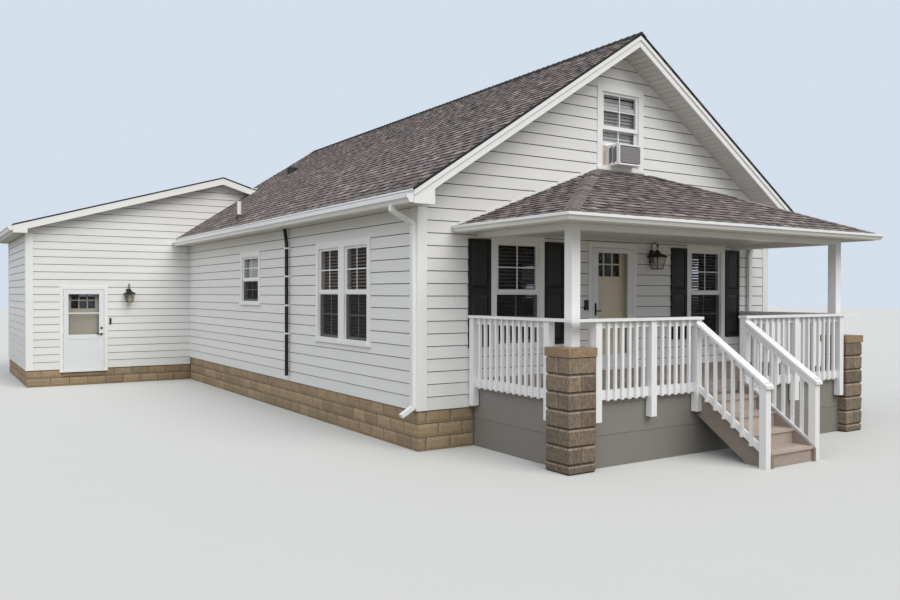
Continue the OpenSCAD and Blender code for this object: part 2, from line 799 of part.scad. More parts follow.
module window_glass() {
    color("lightblue") {
        for (side = [-1, 1]) {
            on_front(side * front_win_x, win_z) window_panes(win_w, win_h, win_meet, 0);
            on_wing_rear(wing_mid_x + side * wing_win_x, wing_win_z)
                window_panes(win_w, win_h, win_meet, 0);
            on_left(pair_y + side * pair_gap / 2, win_z) window_panes(win_w, win_h, win_meet, 0);
            on_right(pair_y + side * pair_gap / 2, win_z) window_panes(win_w, win_h, win_meet, 0);
        }
        on_left(small_y, small_z) window_panes(small_w, small_h, small_meet, 0);
        on_right(small_y, small_z) window_panes(small_w, small_h, small_meet, 0);
        on_front(0, gable_win_z) window_panes(gable_win_w, gable_win_h, gable_meet, cooler_h);
    }
}

// A shutter with two sunk panels, its back on the wall
shutter_h = 1580;
shutter_gap = 8;
// Distance of a shutter's middle from its window's
shutter_mid = win_w / 2 + win_trim + shutter_w / 2 + shutter_gap;
module shutter() {
    rail = 55;
    middle = 45;
    sunk = 10 - shutter_t;
    difference() {
        block([-shutter_w / 2, shutter_w / 2], [-shutter_t, 0], [0, shutter_h]);
        block([rail - shutter_w / 2, shutter_w / 2 - rail], [-shutter_t - 1, sunk], [rail, win_meet - middle]);
        block([rail - shutter_w / 2, shutter_w / 2 - rail], [-shutter_t - 1, sunk],
            [win_meet + middle, shutter_h - rail]);
    }
}

module shutters() {
    color("darkslategray") for (side = [-1, 1]) for (hand = [-1, 1])
        on_front(side * front_win_x + hand * shutter_mid, win_z + 5) shutter();
}

// Doors

// A hinge knuckle on its pin's line, with the plate that fastens it to the piece on the side given by
// dir; out is 1 where the knuckle stands on the leaf's far face and -1 where it stands on its near one
knuckle_r = 7;
knuckle_h = 30;
hinge_gap = 0.3;
plate_w = 20;
plate_t = 3;
module knuckle(z, h, dir, out) {
    translate([0, 0, z]) cylinder(r = knuckle_r, h = h, $fn = 32);
    x = dir > 0 ? [0, plate_w] : [-plate_w, 0];
    near = -out * (knuckle_r + 0.5);
    far = -out * (knuckle_r - plate_t);
    block(x, [min(near, far), max(near, far)], [z, z + h]);
}

// The heights of a leaf's three hinges above its foot
function hinge_heights() = [180, leaf_h / 2 - 1.5 * knuckle_h, leaf_h - 180 - 3 * knuckle_h];

// The frame's two knuckles and the leaf's one between them, at every hinge
module frame_knuckles(out) {
    for (z = hinge_heights()) {
        knuckle(z, knuckle_h - hinge_gap, 1, out);
        knuckle(z + 2 * knuckle_h + hinge_gap, knuckle_h - hinge_gap, 1, out);
    }
}
module leaf_knuckles(out) {
    for (z = hinge_heights()) knuckle(z + knuckle_h, knuckle_h, -1, out);
}

// The lining, outer trim, stop, threshold and hinge knuckles of a doorway, with its hinges on the
// right for hand 1 and on the left for hand -1
stop_y = 65;
module door_frame(hand) {
    w = door_w / 2;
    scale([hand, 1, 1]) translate([leaf_w / 2 + door_gap / 2, 0, leaf_z]) {
        translate([0, storm_y - knuckle_r, 0]) frame_knuckles(-1);
        translate([0, wall_t + knuckle_r, 0]) frame_knuckles(1);
    }
    difference() {
        union() {
            block([-w - door_trim, w + door_trim], [-trim_out, 0], [0, door_h + door_trim]);
            block([-w, w], [-trim_out, wall_t], [0, door_h]);
        }
        block([jamb_t - w, w - jamb_t], [-trim_out - 1, wall_t + 1], [jamb_t, door_h - jamb_t]);
    }
    ring([jamb_t - w, w - jamb_t], [jamb_t, door_h - jamb_t], 12, slim, 12, [stop_y, stop_y + 35]);
    block([-w, w], [-trim_out - 30, wall_t], [0, jamb_t]);
}

module door_frames() {
    color("white") {
        on_front(door_x, floor_z) union() door_frame(1);
        on_wing_front(wing_door_x, wing_floor_z) union() door_frame(-1);
    }
}

leaf_z = jamb_t + door_gap;
storm_y = -trim_out;
entry_y = wall_t - entry_t;
// Places a leaf, which reaches from its hinge at x = 0 to x = -leaf_w, in its doorway, with the
// hinge on the right for hand 1 and on the left for hand -1
module hang(x, z, y, hand) {
    translate([x + hand * leaf_w / 2, y, z + leaf_z]) scale([hand, 1, 1]) children();
}

full_glass = [115, 220, 78];
half_glass = [108, 866, 110];
front_grip_z = 930;
wing_grip_z = 870;
// A storm door's frame round its glass, given as side, foot and head widths
module storm_leaf(glass, panel, grip_z) {
    difference() {
        block([-leaf_w, 0], [0, storm_t], [0, leaf_h]);
        block([glass[0] - leaf_w, -glass[0]], [-1, storm_t + 1], [glass[1], leaf_h - glass[2]]);
        if (panel) block([glass[0] - leaf_w, -glass[0]], [-1, 6], [160, glass[1] - 110]);
    }
    handle(-leaf_w + 55, grip_z, -38, 38 + storm_t + 30);
    translate([door_gap / 2, -knuckle_r, 0]) leaf_knuckles(-1);
}

// The glass of a storm door
module storm_pane(glass) {
    block([glass[0] - leaf_w, -glass[0]], [13, 13 + pane_t], [glass[1], leaf_h - glass[2]]);
}

// A lever handle through a leaf, from depth y over a length l
module handle(x, z, y, l) {
    translate([x, y, z]) rotate([-90, 0, 0]) cylinder(d = 18, h = l, $fn = 24);
    for (end = [0, l - 12]) block([x - 9, x + 100], [y + end, y + end + 12], [z - 9, z + 9]);
}

lite_w = 540;
lite_h = 400;
lite_head = 58;
lite_z = leaf_h - lite_head - lite_h;
stile_w = 110;
panel_z = 200;
lever_z = 880;
bolt_z = 1080;
// An entry door with six lights at its head and sunk panels below them
module entry_leaf(panels) {
    mid = -leaf_w / 2;
    bar = 22;
    cell_w = (lite_w - 2 * bar) / 3;
    cell_h = (lite_h - bar) / 2;
    pw = (leaf_w - 3 * stile_w) / 2;
    difference() {
        block([-leaf_w, 0], [0, entry_t], [0, leaf_h]);
        for (i = [0:2]) for (j = [0:1])
            translate([mid - lite_w / 2 + i * (cell_w + bar), 0, lite_z + j * (cell_h + bar)])
                block([0, cell_w], [-1, entry_t + 1], [0, cell_h]);
        if (panels) for (i = [0:1]) for (y = [-1, entry_t - 6])
            translate([-leaf_w + stile_w + i * (pw + stile_w), y, 0])
                block([0, pw], [0, 7], [panel_z, lite_z - stile_w - 20]);
    }
    handle(-leaf_w + 62, lever_z, -50, entry_t + 100);
    translate([-leaf_w + 62, -16, bolt_z]) rotate([-90, 0, 0]) cylinder(d = 54, h = entry_t + 32, $fn = 32);
    translate([door_gap / 2, entry_t + knuckle_r, 0]) leaf_knuckles(1);
}

// The six small panes of an entry door
module entry_panes() {
    mid = -leaf_w / 2;
    bar = 22;
    cell_w = (lite_w - 2 * bar) / 3;
    cell_h = (lite_h - bar) / 2;
    for (i = [0:2]) for (j = [0:1])
        translate([mid - lite_w / 2 + i * (cell_w + bar), 20, lite_z + j * (cell_h + bar)])
            block([0, cell_w], [0, pane_t], [0, cell_h]);
}

module front_storm_door() {
    color("white") hang(door_x, floor_z, face_y + storm_y, 1) storm_leaf(full_glass, false, front_grip_z);
}
module front_storm_glass() {
    color("lightblue") hang(door_x, floor_z, face_y + storm_y, 1) storm_pane(full_glass);
}
module front_entry_door() {
    color("wheat") hang(door_x, floor_z, face_y + entry_y, 1) entry_leaf(false);
}
module front_entry_glass() {
    color("lightblue") hang(door_x, floor_z, face_y + entry_y, 1) entry_panes();
}
module wing_storm_door() {
    color("white") hang(wing_door_x, wing_floor_z, wing_y + storm_y, -1) storm_leaf(half_glass, true, wing_grip_z);
}
module wing_storm_glass() {
    color("lightblue") hang(wing_door_x, wing_floor_z, wing_y + storm_y, -1) storm_pane(half_glass);
}
module wing_entry_door() {
    color("tan") hang(wing_door_x, wing_floor_z, wing_y + entry_y, -1) entry_leaf(true);
}
module wing_entry_glass() {
    color("lightblue") hang(wing_door_x, wing_floor_z, wing_y + entry_y, -1) entry_panes();
}

// Porch

// The body under the porch roof's three slopes, lowered by drop and drawn in by inset
module porch_form(drop, inset) {
    w = porch_half - inset;
    o = porch_out - inset;
    far = porch_half * 2;
    ss = (porch_top_z - porch_edge_z) / (porch_half - porch_flat);
    fs = (porch_top_z - porch_edge_z) / porch_out;
    e = porch_edge_z - drop;
    intersection() {
        along_y([face_y - o, face_y], [[porch_x - w, e - 400], [porch_x + w, e - 400],
            [porch_x + w, e + inset * ss], [porch_x, e + porch_half * ss], [porch_x - w, e + inset * ss]]);
        along_x([porch_x - far, porch_x + far], [[face_y - o, e - 400], [face_y, e - 400],
            [face_y, e + porch_out * fs], [face_y - o, e + inset * fs]]);
    }
}

porch_v = 80;
module porch_roof() {
    color("dimgray") difference() {
        porch_form(0, board_t);
        porch_form(porch_v, board_t - 30);
        block([porch_x - 2 * porch_half, porch_x + 2 * porch_half],
            [face_y - 2 * porch_out, face_y + 1], [0, ceiling_z + panel_t]);
    }
}

module porch_ceiling() {
    x = porch_half - board_t;
    y = face_y - porch_out;
    z = [ceiling_z - 18, porch_edge_z - 10];
    color("white") {
        union() {
            block([porch_x - x, porch_x + x], [y + board_t, face_y], [ceiling_z, ceiling_z + panel_t]);
            block([porch_x - porch_half, porch_x + porch_half], [y, y + board_t], z);
            for (side = [-1, 1]) translate([porch_x + side * (porch_half - board_t / 2), 0, 0])
                block([-board_t / 2, board_t / 2], [y, face_y], z);
        }
    }
}

module porch_beams() {
    w = post_w / 2;
    z = [post_z, ceiling_z];
    y = face_y - post_out;
    color("white") union() {
        block([porch_x - post_half - w, porch_x + post_half + w], [y - w, y + w], z);
        for (side = [-1, 1]) translate([porch_x + side * post_half, 0, 0]) block([-w, w], [y, face_y], z);
    }
}

module porch_posts() {
    w = post_w / 2;
    color("white") for (side = [-1, 1]) translate([porch_x + side * post_half, face_y - post_out, 0])
        block([-w, w], [-w, w], [pier_h, post_z]);
}

module porch_piers() {
    w = pier_w / 2;
    color("rosybrown") for (side = [-1, 1]) translate([porch_x + side * pier_half, face_y - pier_out, 0])
        block([-w, w], [-w, w], [0, pier_h - cap_t]);
}

module pier_caps() {
    w = pier_w / 2 + 30;
    color("burlywood") for (side = [-1, 1]) translate([porch_x + side * pier_half, face_y - pier_out, 0])
        block([-w, w], [-w, w], [pier_h - cap_t, pier_h]);
}

// The space that both piers take from the deck and its skirt
module pier_space() {
    w = pier_w / 2;
    for (side = [-1, 1]) translate([porch_x + side * pier_half, face_y - pier_out, 0])
        block([-w, w], [-w, w], [-1, deck_z + 1]);
}

deck_t = 25;
rim_h = 135;
module porch_deck() {
    x = deck_half;
    y = face_y - deck_out;
    z = [deck_z - deck_t - rim_h, deck_z - deck_t + 1];
    color("rosybrown") difference() {
        union() {
            block([porch_x - x, porch_x + x], [y, face_y], [deck_z - deck_t, deck_z]);
            block([porch_x - x, porch_x + x], [y, y + wood_t], z);
            for (k = [0:deck_joists]) translate([porch_x - x + k * (2 * x - wood_t) / deck_joists, 0, 0])
                block([0, wood_t], [y, face_y], z);
        }
        pier_space();
    }
}
deck_joists = 14;

skirt_t = 20;
skirt_in = 15;
module deck_skirt() {
    x = deck_half - skirt_in;
    y = face_y - deck_out + skirt_in;
    z = [0, deck_z - deck_t - rim_h];
    color("gray") difference() {
        block([porch_x - x, porch_x + x], [y, face_y], z);
        block([porch_x - x + skirt_t, porch_x + x - skirt_t], [y + skirt_t, face_y + 1],
            [z[0] - 1, z[1] + 1]);
        pier_space();
    }
}

// Railings

// A straight rail panel along X: posts at the given places, rails and balusters between them.
// Local Y = 0 is the deck's edge and -Y points outwards.
module rail_panel(posts) {
    top = rail_z - rail_t;
    low = deck_z - 110;
    for (x = posts) block([x, x + rail_post_w], [-rail_post_w, 0], [rail_foot_z, top]);
    for (k = [0:len(posts) - 2]) {
        x0 = posts[k] + rail_post_w;
        x1 = posts[k + 1];
        count = floor((x1 - x0) / baluster_pitch);
        step = (x1 - x0) / (count + 1);
        block([x0 - 1, x1 + 1], [-rail_in - wood_t, -rail_in], [top - 88, top]);
        block([x0 - 1, x1 + 1], [-rail_in - wood_t, -rail_in], [low, low + 125]);
        for (i = [1:count]) translate([x0 + i * step - baluster_w / 2, 0, 0])
            block([0, baluster_w], [-rail_in - wood_t - baluster_w, -rail_in - wood_t + 1], [low - 10, top]);
    }
}

// The level board on top of a rail panel, from x0 to x1
module rail_cap(x0, x1) {
    block([x0, x1], [15 - rail_w, 15], [rail_z - rail_t - 1, rail_z]);
}

// Each side railing clears the shutter behind it, and its cap runs on over the pier to the corner
side_start = shutter_t + 5;
side_end = pier_out - pier_w / 2 - pier_gap - rail_post_w;
module side_railings() {
    reach = deck_out + rail_w - 15;
    color("white") for (side = [-1, 1]) translate([porch_x + side * deck_half, face_y, 0])
        scale([side, 1, 1]) rotate([0, 0, 90]) union() {
            rail_panel([-side_end - rail_post_w, -side_start - rail_post_w]);
            rail_cap(-reach, -side_start);
        }
}

module front_railings() {
    edge = deck_half - 15;
    stair_l = stair_x - porch_x - stair_w / 2 - rail_post_w;
    stair_r = stair_x - porch_x + stair_w / 2;
    mid_l = (stair_l - first_post) / 2;
    mid_r = (stair_r + first_post) / 2;
    color("white") translate([porch_x, face_y - deck_out, 0]) {
        union() {
            rail_panel([-first_post - rail_post_w, mid_l, stair_l]);
            rail_cap(-edge, stair_l + rail_post_w + 15);
        }
        union() {
            rail_panel([stair_r, mid_r, first_post]);
            rail_cap(stair_r - 15, edge);
        }
    }
}

// Stairs

tread_t = 30;
nosing = 25;
string_w = 40;
nose_out = deck_out + 50;
// How far out the front edge of a tread lies, counted up from the ground
function tread_out(k) = nose_out + (treads + 1 - k) * stair_run;

module stair_treads() {
    w = stair_w / 2 - string_w;
    color("rosybrown") translate([stair_x, face_y, 0]) for (k = [1:treads]) {
        o = tread_out(k);
        z = k * riser;
        back = k < treads ? -o + stair_run + nosing : -deck_out;
        union() {
            block([-w, w], [-o, back], [z - tread_t, z]);
            block([-w, w], [-o + nosing, -o + nosing + board_t], [z - riser, z - tread_t + 1]);
        }
    }
}

module stair_stringers() {
    far = tread_out(1) + 15;
    s = riser / stair_run;
    top = deck_z - deck_t;
    color("rosybrown") translate([stair_x, face_y, 0]) for (side = [-1, 1])
        along_x(side < 0 ? [-stair_w / 2, string_w - stair_w / 2] : [stair_w / 2 - string_w, stair_w / 2],
            [[-deck_out, top], [-deck_out - 75, top], [-far, top - (far - deck_out - 75) * s], [-far, 0],
            [-far + 370, 0], [-deck_out, top - 400]]);
}

// The sloping rail beside the stairs: a newel at the foot, rails in line with the nosings, balusters
newel_out = 3240;
module stair_railing() {
    s = riser / stair_run;
    o0 = deck_out + rail_post_w;
    o1 = newel_out;
    top = rail_z - 75;
    function line(o, up) = top - (o - o0) * s + up;
    count = floor((o1 - o0) / baluster_pitch);
    step = (o1 - o0) / (count + 1);
    block([0, rail_post_w], [-o1 - rail_post_w, -o1], [0, line(o1 + rail_post_w / 2, -10)]);
    along_x([-20, rail_post_w + 20], [[-o0, line(o0, 0)], [-o1 - 130, line(o1 + 130, 0)],
        [-o1 - 130, line(o1 + 130, -40)], [-o0, line(o0, -40)]]);
    for (up = [-40, -870]) along_x([rail_in, rail_in + wood_t], [[-o0, line(o0, up)], [-o1 - 1, line(o1 + 1, up)],
        [-o1 - 1, line(o1 + 1, up - 100)], [-o0, line(o0, up - 100)]]);
    for (k = [1:count]) {
        o = o0 + k * step;
        along_x([rail_in + wood_t - 1, rail_in + wood_t + baluster_w], [[-o - baluster_w / 2, line(o, -60)],
            [-o + baluster_w / 2, line(o, -60)], [-o + baluster_w / 2, line(o, -980)],
            [-o - baluster_w / 2, line(o, -980)]]);
    }
}

module stair_railings() {
    color("white") translate([stair_x, face_y, 0]) for (side = [-1, 1])
        scale([side, 1, 1]) translate([stair_w / 2, 0, 0]) union() stair_railing();
}

// Fittings

// The cooler stands out of the gable window, and a thin board fills the rest of the opening under the sash
cooler_w = 500;
cooler_x = -20;
cooler_out = 255;
cooler_in = 130;
cooler_rim = 24;
cooler_recess = 12;
filler_t = 12;
module window_cooler() {
    z0 = gable_win_z + sill_t;
    w = gable_win_w / 2 - lining;
    y = sash_y + sash_t * 1.5;
    half = cooler_w / 2;
    color("lightgray") translate([0, face_y, 0]) union() {
        difference() {
            block([cooler_x - half, cooler_x + half], [-cooler_out, cooler_in], [z0, z0 + cooler_h]);
            block([cooler_x - half + cooler_rim, cooler_x + half - cooler_rim],
                [-cooler_out - 1, cooler_recess - cooler_out], [z0 + cooler_rim, z0 + cooler_h - cooler_rim]);
        }
        block([-w, w], [y - filler_t / 2, y + filler_t / 2], [z0, z0 + cooler_h]);
    }
}

// A wall lantern: back plate, curled arm, hipped lid, tapered cage and foot. Local z = 0 is its foot.
lamp_y = -143;
cage_top = 205;
cage_lean = 14.7;
lid_r = 118;
curl_z = 395;
curl_t = 11;
module curl(y, r, low) {
    intersection() {
        translate([-curl_t / 2, y, curl_z]) rotate([90, 0, 90]) difference() {
            cylinder(r = r, h = curl_t, $fn = 48);
            translate([0, 0, -1]) cylinder(r = r - curl_t, h = curl_t + 2, $fn = 48);
        }
        block([-curl_t, curl_t], [y - r - 1, y + r + 1], low ? [curl_z - r - 1, curl_z] : [curl_z, curl_z + r + 1]);
    }
}
module lantern() {
    block([-55, 55], [-20, 0], [110, 330]);
    block([-curl_t / 2, curl_t / 2], [-20, -20 + curl_t], [320, curl_z + 1]);
    curl(-75, 66, false);
    curl(lamp_y - 5, 18, true);
    block([-curl_t / 2, curl_t / 2], [lamp_y - 23, lamp_y - 12], [curl_z - 1, curl_z + 24]);
    translate([0, lamp_y, 0]) {
        block([-68, 68], [-68, 68], [0, 14]);
        for (a = [45:90:315]) rotate([0, 0, a]) translate([86, 0, 4]) rotate([0, cage_lean, 0])
            cylinder(d = 13, h = cage_top + 6, $fn = 16);
        block([-lid_r, lid_r], [-lid_r, lid_r], [cage_top, cage_top + 18]);
        lid();
        block([-34, 34], [-34, 34], [cage_top + 70, cage_top + 104]);
        translate([0, 0, cage_top + 103]) cylinder(r1 = 34, r2 = 8, h = 32, $fn = 24);
        translate([0, 0, cage_top + 130]) cylinder(r = 7, h = curl_z - cage_top - 142, $fn = 16);
        translate([0, 0, 13]) cylinder(r = 13, h = 95, $fn = 24);
    }
}

// The hipped part of the lantern's lid
module lid() {
    z = cage_top + 17;
    points = [[-lid_r, z], [lid_r, z], [36, z + 56], [-36, z + 56]];
    intersection() {
        along_y([-lid_r, lid_r], points);
        along_x([-lid_r, lid_r], points);
    }
}

lantern_side = 898;
wing_lantern_side = 1020;
lantern_up = 1642;
wing_lantern_up = 1665;
module lanterns() {
    color("black") {
        on_front(door_x + lantern_side, floor_z + lantern_up) union() lantern();
        on_wing_front(wing_door_x + wing_lantern_side, wing_floor_z + wing_lantern_up) union() lantern();
    }
}

// A pipe and a low hood on the left slope
vent_in = 66;
vent_from_rear = 4300;
vent_d = 89;
vent_h = 360;
hood_up = 1487;
hood_from_rear = 1620;
hood_d = 260;
hood_h = 120;
module roof_vents() {
    vent_x = half_w - vent_in;
    color("white") difference() {
        union() {
            translate([-vent_x, rear_y - vent_from_rear, main_under(vent_x)])
                cylinder(d = vent_d, h = roof_v + vent_h, $fn = 32);
            translate([-hood_up, rear_y - hood_from_rear, main_under(hood_up)])
                cylinder(d = hood_d, h = roof_v + hood_h, $fn = 32);
        }
        under_main_roof(0);
    }
}

// The pipe on the left wall, bent near the eave, with the straps that hold it off the boards
pipe_back = 4700;
pipe_d = 67;
pipe_off = 70;
pipe_bend = 290;
pipe_shift = 95;
pipe_foot = 100;
strap_h = 30;
strap_side = 4;
strap_heights = [876, 1401, 1943, 2468];
module wall_pipe() {
    x = -half_w - pipe_off;
    y = face_y + pipe_back;
    strap_r = pipe_d / 2 + strap_side;
    lean = atan(pipe_shift / pipe_bend);
    color("black") union() {
        translate([x, y, base_h + pipe_foot]) cylinder(d = pipe_d, h = eave_up - pipe_foot - pipe_bend, $fn = 32);
        translate([x, y, eave_z - pipe_bend]) sphere(d = pipe_d, $fn = 32);
        intersection() {
            translate([x, y, eave_z - pipe_bend]) rotate([-lean, 0, 0])
                cylinder(d = pipe_d, h = pipe_bend / cos(lean) + pipe_d, $fn = 32);
            block([x - pipe_d, x + pipe_d], [y - pipe_d, y + pipe_shift + pipe_d], [eave_z - pipe_bend - pipe_d, eave_z]);
        }
        for (z = strap_heights) block([x - strap_r, -half_w], [y - strap_r, y + strap_r],
            [base_h + z, base_h + z + strap_h]);
    }
}

// A small box beside each doorway
letter_box = [82, 28, 160];
bell_box = [44, 25, 150];
letter_side = 583;
letter_up = 450;
bell_side = 598;
bell_up = 1130;
module wall_box(size) {
    block([-size[0] / 2, size[0] / 2], [-size[1], 0], [0, size[2]]);
}
module door_boxes() {
    color("black") {
        on_front(door_x - letter_side, floor_z + bell_up - letter_box[2]) wall_box(letter_box);
        on_wing_front(wing_door_x + bell_side, wing_floor_z + bell_up) wall_box(bell_box);
    }
}

house_foundation();
wing_foundation();
house_floors();
wing_floor();
front_walls();
door_head_walls();
front_gable();
side_walls();
rear_wall();
wing_front_walls();
wing_side_walls();
wing_rear_wall();
corner_boards();
main_roof_left();
main_roof_right();
wing_roof_left();
wing_roof_right();
ridge_caps();
rake_boards();
eave_boards();
soffits();
gutters();
downspouts();
flashings();
front_windows();
gable_window();
side_windows();
wing_windows();
window_glass();
shutters();
door_frames();
front_storm_door();
front_storm_glass();
front_entry_door();
front_entry_glass();
wing_storm_door();
wing_storm_glass();
wing_entry_door();
wing_entry_glass();
porch_roof();
porch_ceiling();
porch_beams();
porch_posts();
porch_piers();
pier_caps();
porch_deck();
deck_skirt();
side_railings();
front_railings();
stair_treads();
stair_stringers();
stair_railings();
window_cooler();
lanterns();
roof_vents();
wall_pipe();
door_boxes();
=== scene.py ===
# %% [markdown]
# # A bungalow, dressed round its frame
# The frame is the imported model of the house: walls, roofs, doors and porch as plain solids, in
# metres. This lesson puts on it what a builder puts on last: lap boards, shingles, rock-faced
# blocks, blinds, deck boards and paint. Each piece is joined to a body of the frame, so the doors
# still swing.

# %% Load the frame and keep its box
import collections
import json
import math
import random

import bmesh
import bpy
from mathutils import Matrix, Vector, noise


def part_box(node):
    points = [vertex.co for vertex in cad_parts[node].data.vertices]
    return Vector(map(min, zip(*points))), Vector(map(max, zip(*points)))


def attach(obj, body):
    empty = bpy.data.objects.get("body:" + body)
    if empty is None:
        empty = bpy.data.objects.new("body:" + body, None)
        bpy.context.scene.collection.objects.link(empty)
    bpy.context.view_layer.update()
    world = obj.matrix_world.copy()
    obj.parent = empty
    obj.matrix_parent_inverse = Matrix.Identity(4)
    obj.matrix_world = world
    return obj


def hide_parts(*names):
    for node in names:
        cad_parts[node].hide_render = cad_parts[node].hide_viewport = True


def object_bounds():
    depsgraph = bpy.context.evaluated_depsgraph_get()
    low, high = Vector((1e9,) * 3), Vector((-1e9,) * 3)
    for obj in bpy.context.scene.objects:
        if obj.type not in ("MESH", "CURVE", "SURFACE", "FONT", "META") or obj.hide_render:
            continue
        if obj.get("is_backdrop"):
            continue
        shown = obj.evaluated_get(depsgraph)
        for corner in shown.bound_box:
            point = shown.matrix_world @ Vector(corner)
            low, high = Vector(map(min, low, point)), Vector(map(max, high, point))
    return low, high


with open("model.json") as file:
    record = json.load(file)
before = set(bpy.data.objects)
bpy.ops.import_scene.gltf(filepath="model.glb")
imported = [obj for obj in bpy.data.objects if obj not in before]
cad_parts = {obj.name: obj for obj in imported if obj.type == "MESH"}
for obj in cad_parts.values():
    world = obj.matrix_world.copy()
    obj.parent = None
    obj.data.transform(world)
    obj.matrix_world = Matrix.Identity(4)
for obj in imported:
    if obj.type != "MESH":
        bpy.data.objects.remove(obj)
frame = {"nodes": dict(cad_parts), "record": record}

cad_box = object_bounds()
nodes = frame["nodes"]
scene = bpy.context.scene


def put(name, data):
    """Makes an object of a mesh, lamp or camera and links it to the scene."""
    made = bpy.data.objects.new(name, data)
    scene.collection.objects.link(made)
    return made


print("frame box", [[round(v, 3) for v in corner] for corner in cad_box], "nodes", len(nodes))

# %% [markdown]
# ## Where the camera stands
# The camera was solved from the level lines of the boards and the upright corners: about 14 m from
# the porch, a little above eye height, turned 33 degrees to the right of straight ahead. The lens
# is given for a sensor 36 mm wide, and the upright edges stay upright because the camera hardly
# tilts.

# %% Camera
eye = Vector((-9.654, -9.853, 2.208))
turn, tilt, roll = math.radians(32.97), math.radians(-0.44), math.radians(0.10)
lens = bpy.data.cameras.new("street_camera")
lens.lens, lens.sensor_width = 32.52, 36.0
lens.clip_start, lens.clip_end = 0.05, 300.0
scene.camera = put("street_camera", lens)
aim = (Matrix.Rotation(-turn, 3, "Z") @ Matrix.Rotation(math.pi / 2 + tilt, 3, "X")
       @ Matrix.Rotation(roll, 3, "Z"))
scene.camera.matrix_world = Matrix.Translation(eye) @ aim.to_4x4()
print("camera at", tuple(round(v, 2) for v in eye), "lens", lens.lens)

# %% [markdown]
# ## Sizes that the dressing follows
# The places of walls and roofs are read from the frame, so the dressing moves with it. Only what
# can't be read from a box, such as the slope of a roof or the reach of an overhang, is written
# here. A pitch is the rise for each metre, and a roof's thickness is measured upright.

# %% Sizes
wall_lo, wall_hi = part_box("front_walls")
FACE, HALF, BASE, PLATE = wall_lo.y, wall_hi.x, wall_lo.z, wall_hi.z
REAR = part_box("rear_wall")[1].y
wing_lo, wing_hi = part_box("wing_rear_wall")
WING, WING_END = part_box("wing_front_walls")[0].y, wing_hi.y
WING_L, WING_R, WING_BASE, WING_PLATE = wing_lo.x, wing_hi.x, wing_lo.z, 3.705
WING_MID, WING_HALF = (WING_L + WING_R) / 2, (WING_R - WING_L) / 2
PITCH, ROOF = 0.6576, 0.181
WING_PITCH, WING_ROOF = 0.297, 0.155
SOFFIT, WING_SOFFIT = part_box("eave_boards")[0].z + 0.01, 3.602
EAVE_OUT, RAKE_OUT, WING_EAVE_OUT, WING_RAKE_OUT = 0.330, 0.446, 0.295, 0.250
FASCIA_T, RAKE_T, PANEL, TAB_OUT = 0.020, 0.025, 0.012, 0.012
front_board, rear_board = FACE - RAKE_OUT, REAR + RAKE_OUT
front_in, rear_in = front_board + RAKE_T, rear_board - RAKE_T
wing_front_board, wing_rear_board = WING - WING_RAKE_OUT, WING_END + WING_RAKE_OUT
wing_front_in, wing_rear_in = wing_front_board + RAKE_T, wing_rear_board - RAKE_T


def main_under(x):
    """Underside of the main roof over x."""
    return PLATE + (HALF - abs(x)) * PITCH


def wing_under(x):
    """Underside of the wing's roof over x."""
    return WING_PLATE + (WING_HALF - abs(x - WING_MID)) * WING_PITCH


print("house", round(2 * HALF, 3), "x", round(REAR - FACE, 3), "wing", round(2 * WING_HALF, 3))

# %% [markdown]
# ## A pile of small solids
# Boards, shingles and blocks are many and alike, so each kind is one mesh made of six-sided solids.
# The pile below takes eight corners at a time, welds corners that meet, drops the faces that two
# solids share, and keeps one number per face, its tint, that the finishes read for colour changes.
# A board knows only how far it runs along its wall, out from it and up. A function called place
# turns those three numbers into a point of the house.

# %% The pile
SIDES = ((3, 2, 1, 0), (4, 5, 6, 7), (0, 1, 5, 4), (1, 2, 6, 5), (2, 3, 7, 6), (3, 0, 4, 7))


def as_is(*point):
    return point


